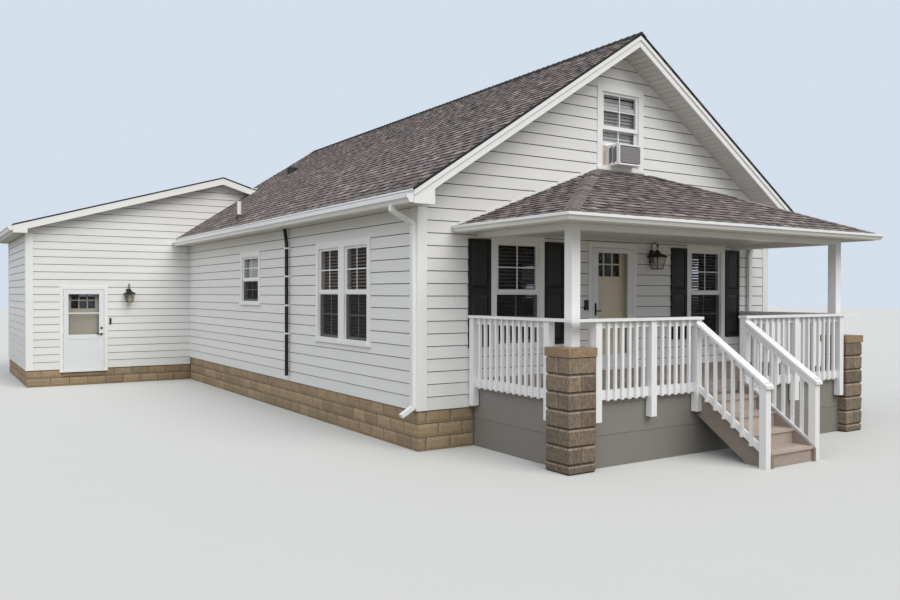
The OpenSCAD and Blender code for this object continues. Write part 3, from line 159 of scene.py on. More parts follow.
class Pile:
    """Collects closed solids and turns them into one piece."""

    def __init__(self):
        self.points, self.index, self.faces, self.tints = [], {}, [], []

    def face(self, corners, tint=0.5):
        """One face, less the corners that fall together."""
        ids = []
        for corner in corners:
            key = tuple(round(v, 5) for v in corner)
            if key not in self.index:
                self.index[key] = len(self.points)
                self.points.append(key)
            if self.index[key] not in ids:
                ids.append(self.index[key])
        if len(ids) > 2:
            self.faces.append(tuple(ids))
            self.tints.append(tint)

    def solid(self, low, high, tint=0.5, edge=None, place=as_is):
        """Four low corners and the four over them; edge is the first side's own tint."""
        corners = [place(*corner) for corner in (*low, *high)]
        for k, side in enumerate(SIDES):
            own = edge if k == 2 and edge is not None else tint
            self.face([corners[i] for i in side], own)

    def cell(self, us, vs, ws, tint=0.5, place=as_is):
        """A solid between pairs of limits in the three directions of place."""
        ring = [(us[i], vs[j]) for i, j in ((0, 0), (1, 0), (1, 1), (0, 1))]
        self.solid(*([(u, v, w) for u, v in ring] for w in ws), tint, place=place)

    def slab(self, ring, thick, tint=0.5, place=as_is):
        """Four corners and the same four higher by the thickness."""
        self.solid(ring, [(u, v, w + thick) for u, v, w in ring], tint, place=place)

    def box(self, a, b, tint=0.5):
        """A square-edged solid between two corners."""
        self.cell(*(sorted(pair) for pair in zip(a, b)), tint)

    def skin(self, rings, tint=0.5):
        """Faces between closed rings of corners."""
        for a, b in zip(rings, rings[1:]):
            for k in range(len(a)):
                m = (k + 1) % len(a)
                self.face([a[k], a[m], b[m], b[k]], tint)

    def prism(self, outline, y0, y1):
        """A flat outline of (x, z) carried from y0 to y1."""
        near, far = ([(x, y, z) for x, z in outline] for y in (y0, y1))
        self.face(near[::-1])
        self.face(far)
        self.skin([near, far])

    def lathe(self, x, y, z, profile, sides=12):
        """Turns a profile of (radius, height) round the upright line through a point."""
        ways = [2 * math.pi * k / sides for k in range(sides)]
        rings = [[(x + r * math.cos(a), y + r * math.sin(a), z + h) for a in ways]
                 for r, h in profile]
        self.face(rings[0])
        self.face(rings[-1])
        self.skin(rings)


sample = Pile()
sample.box((0, 0, 0), (1, 1, 1))
print("one box has", len(sample.points), "corners and", len(sample.faces), "faces")

# %% From pile to piece
def make_piece(pile, name, paint, slot, body="root", stands_for=()):
    """Makes the mesh, gives it its paint and joins it to a body; slot is not used."""
    kinds = [frozenset(face) for face in pile.faces]
    seen = collections.Counter(kinds)
    kept = [k for k, kind in enumerate(kinds) if seen[kind] == 1]
    mesh = bpy.data.meshes.new(name)
    mesh.from_pydata(pile.points, [], [pile.faces[k] for k in kept])
    tint = mesh.attributes.new("tint", "FLOAT", "FACE")
    tint.data.foreach_set("value", [pile.tints[k] for k in kept])
    mesh.update()
    clean = bmesh.new()
    clean.from_mesh(mesh)
    bmesh.ops.recalc_face_normals(clean, faces=clean.faces)
    loose = [v for v in clean.verts if not v.link_faces]
    bmesh.ops.delete(clean, geom=loose, context="VERTS")
    clean.to_mesh(mesh)
    clean.free()
    mesh.materials.append(paint)
    made = put(name, mesh)
    if stands_for:
        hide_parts(*stands_for)
    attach(made, body)
    print(name, len(mesh.polygons), "faces")


# %% [markdown]
# ## Finishes made of nodes
# Every surface of a house is nearly one colour and never quite one. A finish here starts from its
# colour, drifts a little with a soft noise, and gets a fine bump from a second noise that can be
# stretched along the grain. A tint from the mesh may shift one board or block against the next.
# Nodes could be joined by hand in the editor, but written as functions they take one line a paint.

# %% Nodes in one line each
def feed(node, inputs):
    """Sets sockets, by name or number, to a value or to what another node gives."""
    for key, value in inputs.items():
        if isinstance(value, bpy.types.NodeSocket):
            node.id_data.links.new(value, node.inputs[key])
        else:
            node.inputs[key].default_value = value


def add(tree, kind, inputs, **settings):
    """Adds one shader node and returns what it gives."""
    made = tree.nodes.new("ShaderNode" + kind)
    for key, value in settings.items():
        setattr(made, key, value)
    feed(made, inputs)
    return made.outputs


def mixed(tree, factor, a, b, kind="MIX"):
    return add(tree, "Mix", {"Factor": factor, 6: a, 7: b}, data_type="RGBA", blend_type=kind)[2]


def blank(name, values):
    """A new material with its shader's plain values; returns it, its tree and its shader."""
    made = bpy.data.materials.new(name)
    made.use_nodes = True
    shader = made.node_tree.nodes["Principled BSDF"]
    feed(shader, values)
    return made, made.node_tree, shader


def lighter(colour, factor):
    return tuple(min(1.0, c * factor) for c in colour) + (1.0,)


print("grey made a fifth lighter", lighter((0.5, 0.5, 0.5), 1.2))

# %% A general finish
def finish(name, colour, rough, drift=0.06, drift_scale=1.2, grain=90, bump=0.12, depth=0.002,
           tint=0.0, metal=0.0, coat=0.0, speck=0.0):
    """A painted, cast or grained surface; the grain has one scale, or one for each direction."""
    made, tree, shader = blank(name, {"Roughness": rough, "Metallic": metal, "Coat Weight": coat})
    place = add(tree, "TexCoord", {})["Object"]
    fine = grain if isinstance(grain, tuple) else (grain, grain, grain)

    def cloud(scale, detail, stretch):
        turned = add(tree, "Mapping", {"Scale": stretch, "Vector": place})["Vector"]
        return add(tree, "TexNoise", {"Scale": scale, "Detail": detail, "Vector": turned})["Fac"]

    shade = mixed(tree, cloud(drift_scale, 4, (1, 1, 1)), lighter(colour, 1 - drift),
                  lighter(colour, 1 + drift))
    if speck:
        dots = tree.nodes.new("ShaderNodeValToRGB")
        stops = ((0.35, 1 - speck), (0.65, 1 + speck))
        for stop, (position, level) in zip(dots.color_ramp.elements, stops):
            stop.position, stop.color = position, (level, level, level, 1)
        feed(dots, {"Fac": cloud(1.0, 3, fine)})
        shade = mixed(tree, 1.0, shade, dots.outputs["Color"], "MULTIPLY")
    if tint:
        value = add(tree, "Attribute", {}, attribute_name="tint")["Fac"]
        spread = add(tree, "MapRange", {"To Min": 1 - tint, "To Max": 1 + tint, "Value": value})
        shade = mixed(tree, 1.0, shade, spread["Result"], "MULTIPLY")
    raised = add(tree, "Bump", {"Strength": bump, "Distance": depth, "Height": cloud(1.0, 4, fine)})
    feed(shader, {"Base Color": shade, "Normal": raised["Normal"]})
    return made


print("a finish takes", finish.__code__.co_argcount, "settings")

# %% Paints and boards
SIDING = finish("siding_paint", (0.80, 0.795, 0.785), 0.45, drift=0.03, grain=(14, 14, 240),
                tint=0.02, bump=0.25)
# Painted shade: this dark felt draws the lines in the slots between boards and darkens the rooms.
SHEATHING = finish("painted_shade_felt", (0.055, 0.055, 0.058), 0.9, drift=0.1, grain=60, bump=0.2)
SOFFIT_PAINT = finish("soffit_paint", (0.66, 0.655, 0.63), 0.5, drift=0.03, grain=30, tint=0.6,
                      bump=0.08)
TRIM = finish("trim_paint", (0.86, 0.86, 0.85), 0.38, drift=0.02, grain=30, bump=0.08)
RAIL = finish("railing_paint", (0.86, 0.86, 0.87), 0.34, drift=0.03, grain=(50, 50, 12), bump=0.15)
SHUTTER = finish("shutter_charcoal", (0.011, 0.010, 0.0105), 0.5, drift=0.1, grain=(60, 60, 400),
                 bump=0.3)
# The field's wide tint range carries the painted light and shade of its slopes.
FIELD = finish("shutter_field", (0.016, 0.0145, 0.015), 0.42, drift=0.1, grain=(60, 60, 400),
               bump=0.2, tint=0.9)
STORM = finish("storm_enamel", (0.79, 0.81, 0.84), 0.3, drift=0.02, grain=30, bump=0.05)
CREAM = finish("door_cream", (0.88, 0.77, 0.60), 0.4, drift=0.03, grain=20, bump=0.05)
GREIGE = finish("door_greige", (0.42, 0.39, 0.33), 0.4, drift=0.03, grain=20, bump=0.05)
DECK = finish("deck_taupe", (0.30, 0.25, 0.215), 0.62, drift=0.08, grain=(5, 160, 160), bump=0.4,
              tint=0.12, speck=0.14)
STEP = finish("step_taupe", (0.43, 0.355, 0.305), 0.62, drift=0.08, grain=(5, 160, 160), bump=0.4,
              tint=0.10, speck=0.12)
SKIRT = finish("skirt_grey", (0.235, 0.223, 0.204), 0.55, drift=0.05, grain=(8, 8, 160), bump=0.3,
               tint=0.06)
FLOORS = finish("floor_boards", (0.38, 0.25, 0.15), 0.5, drift=0.15, grain=(4, 90, 90), bump=0.3,
                speck=0.15)
WOOD_SLAT = finish("wooden_slat", (0.36, 0.25, 0.19), 0.5, drift=0.04, grain=(10, 10, 60),
                   bump=0.05, tint=0.25)
PALE_SLAT = finish("pale_slat", (0.90, 0.92, 0.94), 0.45, drift=0.03, grain=(10, 10, 60),
                   bump=0.05, tint=0.2)
FILLER = finish("filler_board", (0.60, 0.50, 0.42), 0.5, drift=0.03, grain=20, bump=0.05)
for dull in (SHUTTER, FIELD):
    feed(dull.node_tree.nodes["Principled BSDF"], {"Specular IOR Level": 0.3})
print("paints and boards", len(bpy.data.materials))

# %% Metal and stone
GUTTER = finish("gutter_enamel", (0.86, 0.865, 0.865), 0.22, drift=0.02, grain=20, bump=0.03,
                coat=0.3)
BLACK = finish("black_iron", (0.010, 0.010, 0.011), 0.48, drift=0.2, grain=150, bump=0.2, metal=0.2)
COOLER = finish("cooler_shell", (0.84, 0.845, 0.86), 0.35, drift=0.02, grain=60, bump=0.05)
VENT = finish("vent_white", (0.80, 0.80, 0.78), 0.4, drift=0.04, grain=60, bump=0.05)
DARK = finish("dark_flashing", (0.012, 0.012, 0.013), 0.6, drift=0.2, grain=60, bump=0.1)
CONCRETE = finish("concrete", (0.42, 0.41, 0.38), 0.85, drift=0.1, grain=60, bump=0.4, speck=0.12)
MORTAR = finish("mortar", (0.12, 0.10, 0.085), 0.95, drift=0.12, grain=180, bump=0.6, speck=0.2)
ROCK = finish("rock_brown", (0.195, 0.152, 0.110), 0.92, drift=0.18, drift_scale=5,
              grain=(40, 40, 22), bump=0.6, depth=0.004, tint=0.7, speck=0.26)
BLOCK = finish("rock_tan", (0.33, 0.242, 0.15), 0.92, drift=0.2, drift_scale=5, grain=70, bump=0.7,
               depth=0.005, tint=0.4, speck=0.22)
CAP = finish("cap_tan", (0.295, 0.206, 0.127), 0.88, drift=0.16, drift_scale=6, grain=45, bump=0.5,
             speck=0.24)
print("finishes", len(bpy.data.materials))

# %% [markdown]
# ## Glass
# Window glass is a thin clear sheet: it shows the dim room through it and mirrors a little of the
# sky. A bending, fully clear shader would need many light bounces for a pane this thin. A glossy
# dark sheet that lets most light straight through looks the same, and the rooms behind, whose
# walls carry the dark felt as painted shade, do the rest.

# %% Glass
def clear_glass(name, colour, body, rough=0.03):
    """A thin pane; body is the share of the light that it stops."""
    made, tree, shader = blank(name, {"Alpha": body, "Roughness": rough, "IOR": 1.45})
    cloud = add(tree, "TexNoise", {"Scale": 0.8})["Fac"]
    feed(shader, {"Base Color": mixed(tree, cloud, lighter(colour, 0.95), lighter(colour, 1.0))})
    return made


GLASS = clear_glass("window_glass", (0.020, 0.024, 0.026), 0.12)
STORM_GLASS = clear_glass("storm_glass", (0.030, 0.034, 0.036), 0.04)
ENTRY_GLASS = clear_glass("entry_glass", (0.016, 0.017, 0.019), 0.50)
LAMP_GLASS = clear_glass("lantern_glass", (0.50, 0.46, 0.38), 0.20, 0.06)
print("finishes with glass", len(bpy.data.materials))

# %% [markdown]
# ## Shingle colour
# The shingles are laid from mixed bundles: brown, grey and a little purple beside each other, with
# a dark line where each course throws its shadow. That line is painted shade: the lower edge of
# every tab takes the ramp's darkest, near-black stop. Every tab has its own tint, a ramp turns the
# tint into one of the colours, and a fine noise breaks it up into granules.

# %% Shingle finish
# The first, near-black stop is painted shade, used for the tabs' lower edges and the dark ridge
# caps.
BUNDLES = ((0.0, (0.018, 0.015, 0.015)), (0.15, (0.100, 0.078, 0.074)),
           (0.42, (0.173, 0.137, 0.127)), (0.60, (0.184, 0.154, 0.156)),
           (0.80, (0.258, 0.205, 0.180)), (1.0, (0.340, 0.287, 0.261)))
SHINGLE, tree, shader = blank("shingle_granules", {"Roughness": 0.9})
ramp = tree.nodes.new("ShaderNodeValToRGB")
for position, colour in BUNDLES[1:-1]:
    ramp.color_ramp.elements.new(position)
for stop, (position, colour) in zip(ramp.color_ramp.elements, BUNDLES):
    stop.color = colour + (1,)
feed(ramp, {"Fac": add(tree, "Attribute", {}, attribute_name="tint")["Fac"]})
place = add(tree, "TexCoord", {})["Object"]
grains = add(tree, "TexNoise", {"Scale": 140, "Detail": 3, "Vector": place})["Fac"]
spread = add(tree, "MapRange", {"From Min": 0.3, "From Max": 0.7, "To Min": 0.62, "To Max": 1.38,
                                "Value": grains})["Result"]
raised = add(tree, "Bump", {"Strength": 0.5, "Distance": 0.003, "Height": grains})["Normal"]
feed(shader, {"Base Color": mixed(tree, 1.0, ramp.outputs["Color"], spread, "MULTIPLY"),
              "Normal": raised})
print("shingle colours", len(ramp.color_ramp.elements))

# %% [markdown]
# ## Paint on the frame's own solids
# The trim, rails, doors and gutters already have their true shapes in the frame. They only need the
# right finish in their material slots. The walls will be covered, so they get a dark felt as
# painted
# shade: it draws the shadow lines in the slots between boards and keeps the rooms dim behind the
# glass. Where one solid has two paints, such as white straps on a black pipe, its faces are told
# apart by where they lie.

# %% Paint the frame
PAINT = {
    "siding": SHEATHING, "trim": TRIM, "white_wood": RAIL, "shingle": SHINGLE,
    "gutter_white": GUTTER, "glass": GLASS, "shutter_grey": SHUTTER, "door_cream": CREAM,
    "door_greige": GREIGE, "floor_wood": FLOORS, "concrete": CONCRETE, "block_tan": MORTAR,
    "block_brown": MORTAR, "cap_tan": CAP, "deck_taupe": DECK, "skirt_grey": SKIRT,
    "iron_black": BLACK, "cooler_white": COOLER, "vent_white": VENT,
}
OWN = {}
for door in ("front", "wing"):
    OWN[door + "_storm_door"], OWN[door + "_storm_glass"] = STORM, STORM_GLASS
    OWN[door + "_entry_glass"] = ENTRY_GLASS
slots = {part["node"]: part["material_slot"] for part in frame["record"]["subparts"]}
for name, node in nodes.items():
    node.data.materials.clear()
    node.data.materials.append(OWN.get(name, PAINT[slots[name]]))
print("painted", len(nodes), "nodes")

# %% Second paints
STRAPS, STRAP_H, SLACK = (0.876, 1.401, 1.943, 2.468), 0.030, 0.001


def repaint(name, paint, chosen):
    """Gives another finish to those faces of a node whose middle is in the chosen place."""
    mesh, count = nodes[name].data, 0
    mesh.materials.append(paint)
    for face in mesh.polygons:
        if chosen(nodes[name].matrix_world @ face.center):
            face.material_index = len(mesh.materials) - 1
            count += 1
    print(name, count, "faces in", paint.name)


def on_strap(p):
    return any(-SLACK < p.z - BASE - strap < STRAP_H + SLACK for strap in STRAPS)


repaint("wall_pipe", GUTTER, on_strap)
repaint("roof_vents", DARK, lambda p: abs(p.x) < HALF / 2)

# %% [markdown]
# ## Lap boards
# The walls wear level boards that each lap over the one below. The exposed height is seven inches,
# the lower edge stands out by a finger's breadth over a narrow slot, and the dark felt behind that
# slot draws, as painted shade, the dark lines that make the wall. A board is cut by the windows, by
# the slope of the gable and by a joint every twelve feet, so the wall is walked course by course
# and each course is cut into solids that fit.

# %% Lap boards
EXPOSURE, LIP, HEAD, JOINT, SLOT = 0.1778, 0.013, 0.0015, 0.0015, 0.011
BOARD_LENGTH, SHORTEST, THIN = 3.66, 0.3, 0.002
laps = random.Random(7)


def board_joints(start, end):
    """Where the boards of one course meet."""
    joints, u = [], start + laps.uniform(0.5, BOARD_LENGTH)
    while u < end - SHORTEST:
        joints.append(u)
        u += BOARD_LENGTH
    return joints


def lap_wall(pile, place, low, high, span, holes=(), breaks=()):
    """Boards from low to high; span(z) gives the wall's two ends and place(u, out, z) a point."""
    course, z = 0, low
    while z < high - 2 * THIN:
        top = min(z + EXPOSURE, high)
        marks = list(breaks) + [v for hole in holes for v in hole[2:]]
        cuts = [z] + sorted({v for v in marks if z + THIN < v < top - THIN}) + [top]
        joints = board_joints(min(span(z)[0], span(top)[0]), max(span(z)[1], span(top)[1]))
        edges = sorted({v for hole in holes if hole[3] > z and hole[2] < top for v in hole[:2]}
                       | {v for u in joints for v in (u, u + JOINT)})
        for a, b in zip(cuts, cuts[1:]):
            a += SLOT if a == z and course else 0
            (la, ra), (lb, rb) = span(a), span(b)
            if b - a < THIN or (ra - la < THIN and rb - lb < THIN):
                continue
            inner = [v for v in edges if max(la, lb) + THIN < v < min(ra, rb) - THIN]
            columns = [(la, lb)] + [(v, v) for v in inner] + [(ra, rb)]
            out_a, out_b = (LIP - (LIP - HEAD) * (v - z) / EXPOSURE for v in (a, b))
            for (ua, ub), (va, vb) in zip(columns, columns[1:]):
                mid, height = (ua + ub + va + vb) / 4, (a + b) / 2
                if any(h[0] < mid < h[1] and h[2] < height < h[3] for h in holes):
                    continue
                if any(j < mid < j + JOINT for j in joints):
                    continue
                pile.solid([(ua, 0, a), (va, 0, a), (va, out_a, a), (ua, out_a, a)],
                           [(ub, 0, b), (vb, 0, b), (vb, out_b, b), (ub, out_b, b)],
                           (course * 37 % 11) / 11, place=place)
        z, course = top, course + 1


def hole(x, z, w, h):
    return (x - w / 2, x + w / 2, z, z + h)


print("courses on a wall", math.ceil((SOFFIT - BASE) / EXPOSURE))

# %% [markdown]
# ## Openings in the boards
# The boards stop at the holes in the walls, and the window and door trim laps over their cut ends.
# The holes repeat the sizes that the frame's walls were cut with.

# %% Where the openings are
WIN_Z, WIN_W, WIN_H = 1.425, 0.85, 1.57
FRONT_WIN, DOOR_X, WING_DOOR_X = 2.121, -0.165, -6.395
DOOR_W, DOOR_H, FLOOR, WING_FLOOR = 0.95, 2.0, 0.98, 0.32
GABLE_W, GABLE_H, GABLE_Z = 0.862, 1.25, 4.27
PAIR_Y, PAIR_GAP = FACE + 2.445, 1.03
SMALL_Y, SMALL_W, SMALL_H, SMALL_Z = FACE + 6.885, 1.04, 0.985, 2.01
WING_WIN_X, WING_WIN_Z = 2.4, 1.247
front_holes = [hole(side * FRONT_WIN, WIN_Z, WIN_W, WIN_H) for side in (-1, 1)]
front_holes += [hole(DOOR_X, FLOOR, DOOR_W, DOOR_H), hole(0, GABLE_Z, GABLE_W, GABLE_H)]
side_holes = [hole(PAIR_Y + k * PAIR_GAP, WIN_Z, WIN_W, WIN_H) for k in (-0.5, 0.5)]
side_holes.append(hole(SMALL_Y, SMALL_Z, SMALL_W, SMALL_H))
wing_holes = [hole(WING_DOOR_X, WING_FLOOR, DOOR_W, DOOR_H)]
rear_holes = [hole(WING_MID + side * WING_WIN_X, WING_WIN_Z, WIN_W, WIN_H) for side in (-1, 1)]
print("openings", len(front_holes) + 2 * len(side_holes) + len(wing_holes) + len(rear_holes))

# %% Boards on the house
GAP = 0.002
wing_cover = WING_PLATE + WING_ROOF


def under_gable(z):
    reach = HALF - max(0.0, z - PLATE + PANEL) / PITCH
    return (-reach, reach)


def rear_span(z):
    """The rear gable shows only where the wing's roof doesn't cover it."""
    right = under_gable(z)[1]
    return (max(WING_R - max(0.0, z - wing_cover) / WING_PITCH, -right), right)


top = main_under(0) - PANEL - GAP
boards = Pile()
lap_wall(boards, lambda u, out, z: (u, FACE - out, z), BASE, top, under_gable, front_holes,
         [PLATE - PANEL])
lap_wall(boards, lambda u, out, z: (-HALF - out, u, z), BASE, SOFFIT, lambda z: (FACE, WING),
         side_holes)
lap_wall(boards, lambda u, out, z: (HALF + out, u, z), BASE, SOFFIT, lambda z: (FACE, REAR),
         side_holes)
lap_wall(boards, lambda u, out, z: (u, REAR + out, z), BASE, top, rear_span, (),
         [PLATE - PANEL, wing_cover])
make_piece(boards, "house_lap_boards", SIDING, "siding")

# %% Boards on the wing
house_cover = PLATE + ROOF + TAB_OUT


def wing_gable(z):
    rise = max(0.0, z - WING_PLATE + PANEL)
    return (WING_L + rise / WING_PITCH, WING_R - rise / WING_PITCH)


def wing_front_span(z):
    """The wing's front stops at the house's wall, and higher up at its roof."""
    left = wing_gable(z)[0]
    return (left, max(left, max(0.0, z - house_cover) / PITCH - HALF))


top = wing_under(WING_MID) - PANEL - GAP
boards = Pile()
lap_wall(boards, lambda u, out, z: (u, WING - out, z), WING_BASE, top, wing_front_span, wing_holes,
         [house_cover, WING_PLATE - PANEL])
lap_wall(boards, lambda u, out, z: (WING_L - out, u, z), WING_BASE, WING_SOFFIT,
         lambda z: (WING, WING_END))
lap_wall(boards, lambda u, out, z: (WING_R + out, u, z), WING_BASE, WING_SOFFIT,
         lambda z: (REAR, WING_END))
lap_wall(boards, lambda u, out, z: (u, WING_END + out, z), WING_BASE, top, wing_gable, rear_holes,
         [WING_PLATE - PANEL])
make_piece(boards, "wing_lap_boards", SIDING, "siding")

# %% [markdown]
# ## Shingles
# Shingles lie in courses from the eave up, each course over the nails of the one below. Real
# laminated ones have tabs of many widths, some double and some single, and that uneven edge gives
# the roof its texture. Each tab here is a thin wedge: thick at its lower edge, and diving under the
# next course.

# %% Shingle courses
COURSE, TUCK, TAIL, LEAST_TAB, LEAST_COURSE, HAIR = 0.143, 0.03, 0.0005, 0.04, 0.01, 0.001
SINGLE = (0.009, 0.06, 0.20, 0.24, 0.15)  # thickness, least and most width, usual tint, its spread
DOUBLE, DARKEST = (0.016, 0.09, 0.26, 0.66, 0.20), 0.07
tabs = random.Random(11)


def shingle_slope(pile, place, length, span):
    """Courses up a slope; place(s, t, h) is the point s along, t up the slope and h over it."""
    t, count = 0.0, 0
    while t < length - LEAST_COURSE:
        end = min(t + COURSE, length)
        (la, ra), (lb, rb) = span(t), span(end)
        left, right = min(la, lb), max(ra, rb)
        s, double, tuck = left, bool(count % 2), min(end + TUCK, length)
        while s < right - HAIR:
            thick, least, most, usual, spread = DOUBLE if double else SINGLE
            e = min(s + tabs.uniform(least, most), right)
            if right - e < LEAST_TAB:
                e = right
            tint = min(1.0, max(DARKEST, tabs.gauss(usual, spread)))
            a0, b0 = (la, lb) if s == left else (max(s, la), max(s, lb))
            a1, b1 = (ra, rb) if e == right else (min(e, ra), min(e, rb))
            if a1 - a0 > HAIR or b1 - b0 > HAIR:
                a1, b1 = max(a0, a1), max(b0, b1)
                # The tab's lower edge gets tint 0.0, the near-black stop, as painted shade.
                pile.solid([(a0, t, 0), (a1, t, 0), (b1, tuck, 0), (b0, tuck, 0)],
                           [(a0, t, thick), (a1, t, thick), (b1, tuck, TAIL), (b0, tuck, TAIL)],
                           tint, 0.0, place)
            s, double = e, not double
        t, count = end, count + 1


def cap_run(pile, start, end, downs, width=0.13, lift=0.014, thick=0.007, shade=0.45):
    """Folded cap shingles along a ridge or hip, each lapping the one before it, near one shade."""
    run = (end - start).length
    along, up = (end - start) / run, (-(downs[0] + downs[1])).normalized()
    count = int(run / COURSE)
    for k in range(count):
        a = start + along * (k * run / count) + up * lift
        b = start + along * min(run, (k + 1.25) * run / count) + up * (lift * 0.35)
        tint = min(1.0, max(min(shade, 0.1), tabs.gauss(shade, shade * 0.45)))
        for down in downs:
            low = [a, b, b + down * width, a + down * width]
            pile.solid(low, [p + up * thick for p in low], tint)


def slope(middle, reach, foot, way, side, start=0.0):
    """place for a slope whose eave is reach from the middle at height foot, and climbs by way."""
    return lambda s, t, h: (middle + side * (reach - (t - start) * way[0] + h * way[1]), s,
                            foot + (t - start) * way[1] + h * way[0])


print("courses up the house's roof, about", round(HALF * math.hypot(1.0, PITCH) / COURSE))

# %% Shingles on the house
slope_run = math.hypot(1.0, PITCH)
way = Vector((1 / slope_run, PITCH / slope_run))
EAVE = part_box("eave_boards")[1].x + TAB_OUT
EAVE_Z = PLATE + ROOF - (EAVE - HALF) * PITCH
front_end, rear_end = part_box("rake_boards")[0].y - TAB_OUT, rear_board + TAB_OUT
SHY = 0.02


def left_span(t):
    """The left slope runs on behind the wing only where it stands over the wing's roof."""
    x = t * way.x - EAVE
    over_wing = main_under(x) + ROOF > wing_under(x) + WING_ROOF
    return (front_end, rear_end if over_wing else WING - SHY)


for name, side, span in (("left_shingles", -1, left_span),
                         ("right_shingles", 1, lambda t: (front_end, rear_end))):
    shingles = Pile()
    shingle_slope(shingles, slope(0.0, EAVE, EAVE_Z, way, side), EAVE * slope_run, span)
    make_piece(shingles, name, SHINGLE, "shingle")

# %% Shingles on the wing
wing_run = math.hypot(1.0, WING_PITCH)
wing_way = Vector((1 / wing_run, WING_PITCH / wing_run))
WING_EAVE = WING_HALF + WING_EAVE_OUT + TAB_OUT
WING_EAVE_Z = wing_cover - (WING_EAVE_OUT + TAB_OUT) * WING_PITCH
WING_CLEAR, BARELY = REAR + 0.46, 0.004
wing_front, wing_rear = wing_front_board - TAB_OUT, wing_rear_board


def wing_right_span(t):
    """The right slope reaches the front only where it stands over the house's roof."""
    x, z = WING_MID + WING_EAVE - t * wing_way.x, WING_EAVE_Z + t * wing_way.y
    over_house = z > main_under(x) + ROOF + BARELY and x < 0
    return (wing_front if over_house else WING_CLEAR, wing_rear)


shingles = Pile()
for side, span in ((-1, lambda t: (wing_front, wing_rear)), (1, wing_right_span)):
    shingle_slope(shingles, slope(WING_MID, WING_EAVE, WING_EAVE_Z, wing_way, side),
                  WING_EAVE * wing_run, span)
make_piece(shingles, "wing_shingles", SHINGLE, "shingle")

# %% Shingles on the porch
PORCH_X, PORCH_HALF, PORCH_OUT, PORCH_FLAT = 0.045, 3.255, 2.41, 0.602
PORCH_EDGE, PORCH_TOP, WALL_GAP = 3.190, 4.205, 0.012
porch_in, porch_up = PORCH_HALF - PORCH_FLAT, PORCH_TOP - PORCH_EDGE
front_slope, side_slope = math.hypot(PORCH_OUT, porch_up), math.hypot(porch_in, porch_up)
fy, fz = PORCH_OUT / front_slope, porch_up / front_slope
sx, sz = porch_in / side_slope, porch_up / side_slope


def porch_front(s, t, h):
    t -= TAB_OUT
    return (s, FACE - PORCH_OUT + t * fy - h * fz, PORCH_EDGE + t * fz + h * fy)


def porch_front_span(t):
    reach = PORCH_HALF - (t - TAB_OUT) * fy * porch_in / PORCH_OUT
    return (PORCH_X - reach, PORCH_X + reach)


def porch_side_span(t):
    hip = FACE - PORCH_OUT + (t - TAB_OUT) * sx * PORCH_OUT / porch_in
    return (min(FACE - WALL_GAP, hip), FACE - WALL_GAP)


shingles = Pile()
shingle_slope(shingles, porch_front, front_slope + TAB_OUT, porch_front_span)
for side in (-1, 1):
    shingle_slope(shingles, slope(PORCH_X, PORCH_HALF, PORCH_EDGE, (sx, sz), side, TAB_OUT),
                  side_slope + TAB_OUT, porch_side_span)
make_piece(shingles, "porch_shingles", SHINGLE, "shingle")

# %% [markdown]
# ## Ridge and hip caps
# Where two slopes meet, single tabs are folded over the line. They start at the far end and lap
# towards the weather, so they read as a row of small steps along the ridge. On the main ridge they
# lie over a strip vent and are painted nearly black, partly for the dark vent and partly as painted
# shade, which draws a dark line against the sky.

# %% Caps
caps = Pile()
# The main ridge's near-black cap tint is painted shade as well as the dark vent's colour.
VENTED, PLAIN = {"lift": 0.026, "thick": 0.012, "shade": 0.02}, {"shade": 0.15}
ridge, wing_ridge = main_under(0) + ROOF, wing_under(WING_MID) + WING_ROOF
for x, y0, y1, z, (run, fall), looks in (
        (0, front_end, rear_end, ridge, way, VENTED),
        (WING_MID, wing_front, wing_rear, wing_ridge, wing_way, PLAIN)):
    downs = [Vector((side * run, 0, -fall)) for side in (-1, 1)]
    cap_run(caps, Vector((x, y0, z)), Vector((x, y1, z)), downs, **looks)
for side in (-1, 1):
    low = Vector((PORCH_X + side * PORCH_HALF, FACE - PORCH_OUT, PORCH_EDGE))
    high = Vector((PORCH_X + side * PORCH_FLAT, FACE - SHY, PORCH_TOP))
    downs = [(high - low).normalized().cross(Vector(normal)).normalized()
             for normal in ((0, -fz, fy), (side * sz, 0, sx))]
    cap_run(caps, low, high, [-down if down.z > 0 else down for down in downs], width=0.11)
make_piece(caps, "ridge_and_hip_caps", SHINGLE, "shingle", stands_for=["ridge_caps"])

# %% [markdown]
# ## Roof edges
# Between the shingles and the white boards lies the edge of the roof deck with its metal drip
# strip. From the ground it is the dark line that runs along every rake, dark partly from the metal
# and partly as painted shade. It closes the space that the frame leaves between the boards' top and
# the shingles, and thin dark strips over the cut ends of the shingles continue it: painted shade,
# as those ends lie in shadow. Along the eaves a white drip edge leads the rain into the gutter, and
# on the ridge lies a strip vent.

# %% Roof edges
EDGE, WING_EDGE, TAB_EDGE, TAB_THICK, SUNK = 0.028, 0.015, 0.020, 0.0015, 0.0005
VENT_HALF, VENT_UP, VENT_SHORT, BEHIND = 0.110, 0.024, 0.01, REAR + 0.47
drop = wing_under(WING_MID) + WING_MID * WING_PITCH - main_under(0) - ROOF
tip_x = drop / (PITCH + WING_PITCH)
reach, wing_reach = EAVE - TAB_OUT, WING_EAVE - TAB_OUT
edges = Pile()


def house_top(x):
    return main_under(x) + ROOF - SUNK


def wing_top(x):
    return wing_under(x) + WING_ROOF - SUNK


def strip(xs, top, thick, y0, y1, over=0.0):
    """A bent strip from y0 to y1 whose upper line lies over the roof's at each x."""
    under = [(x, top(x) + over - thick) for x in xs]
    edges.prism(under + [(x, top(x) + over) for x in reversed(xs)], y0, y1)


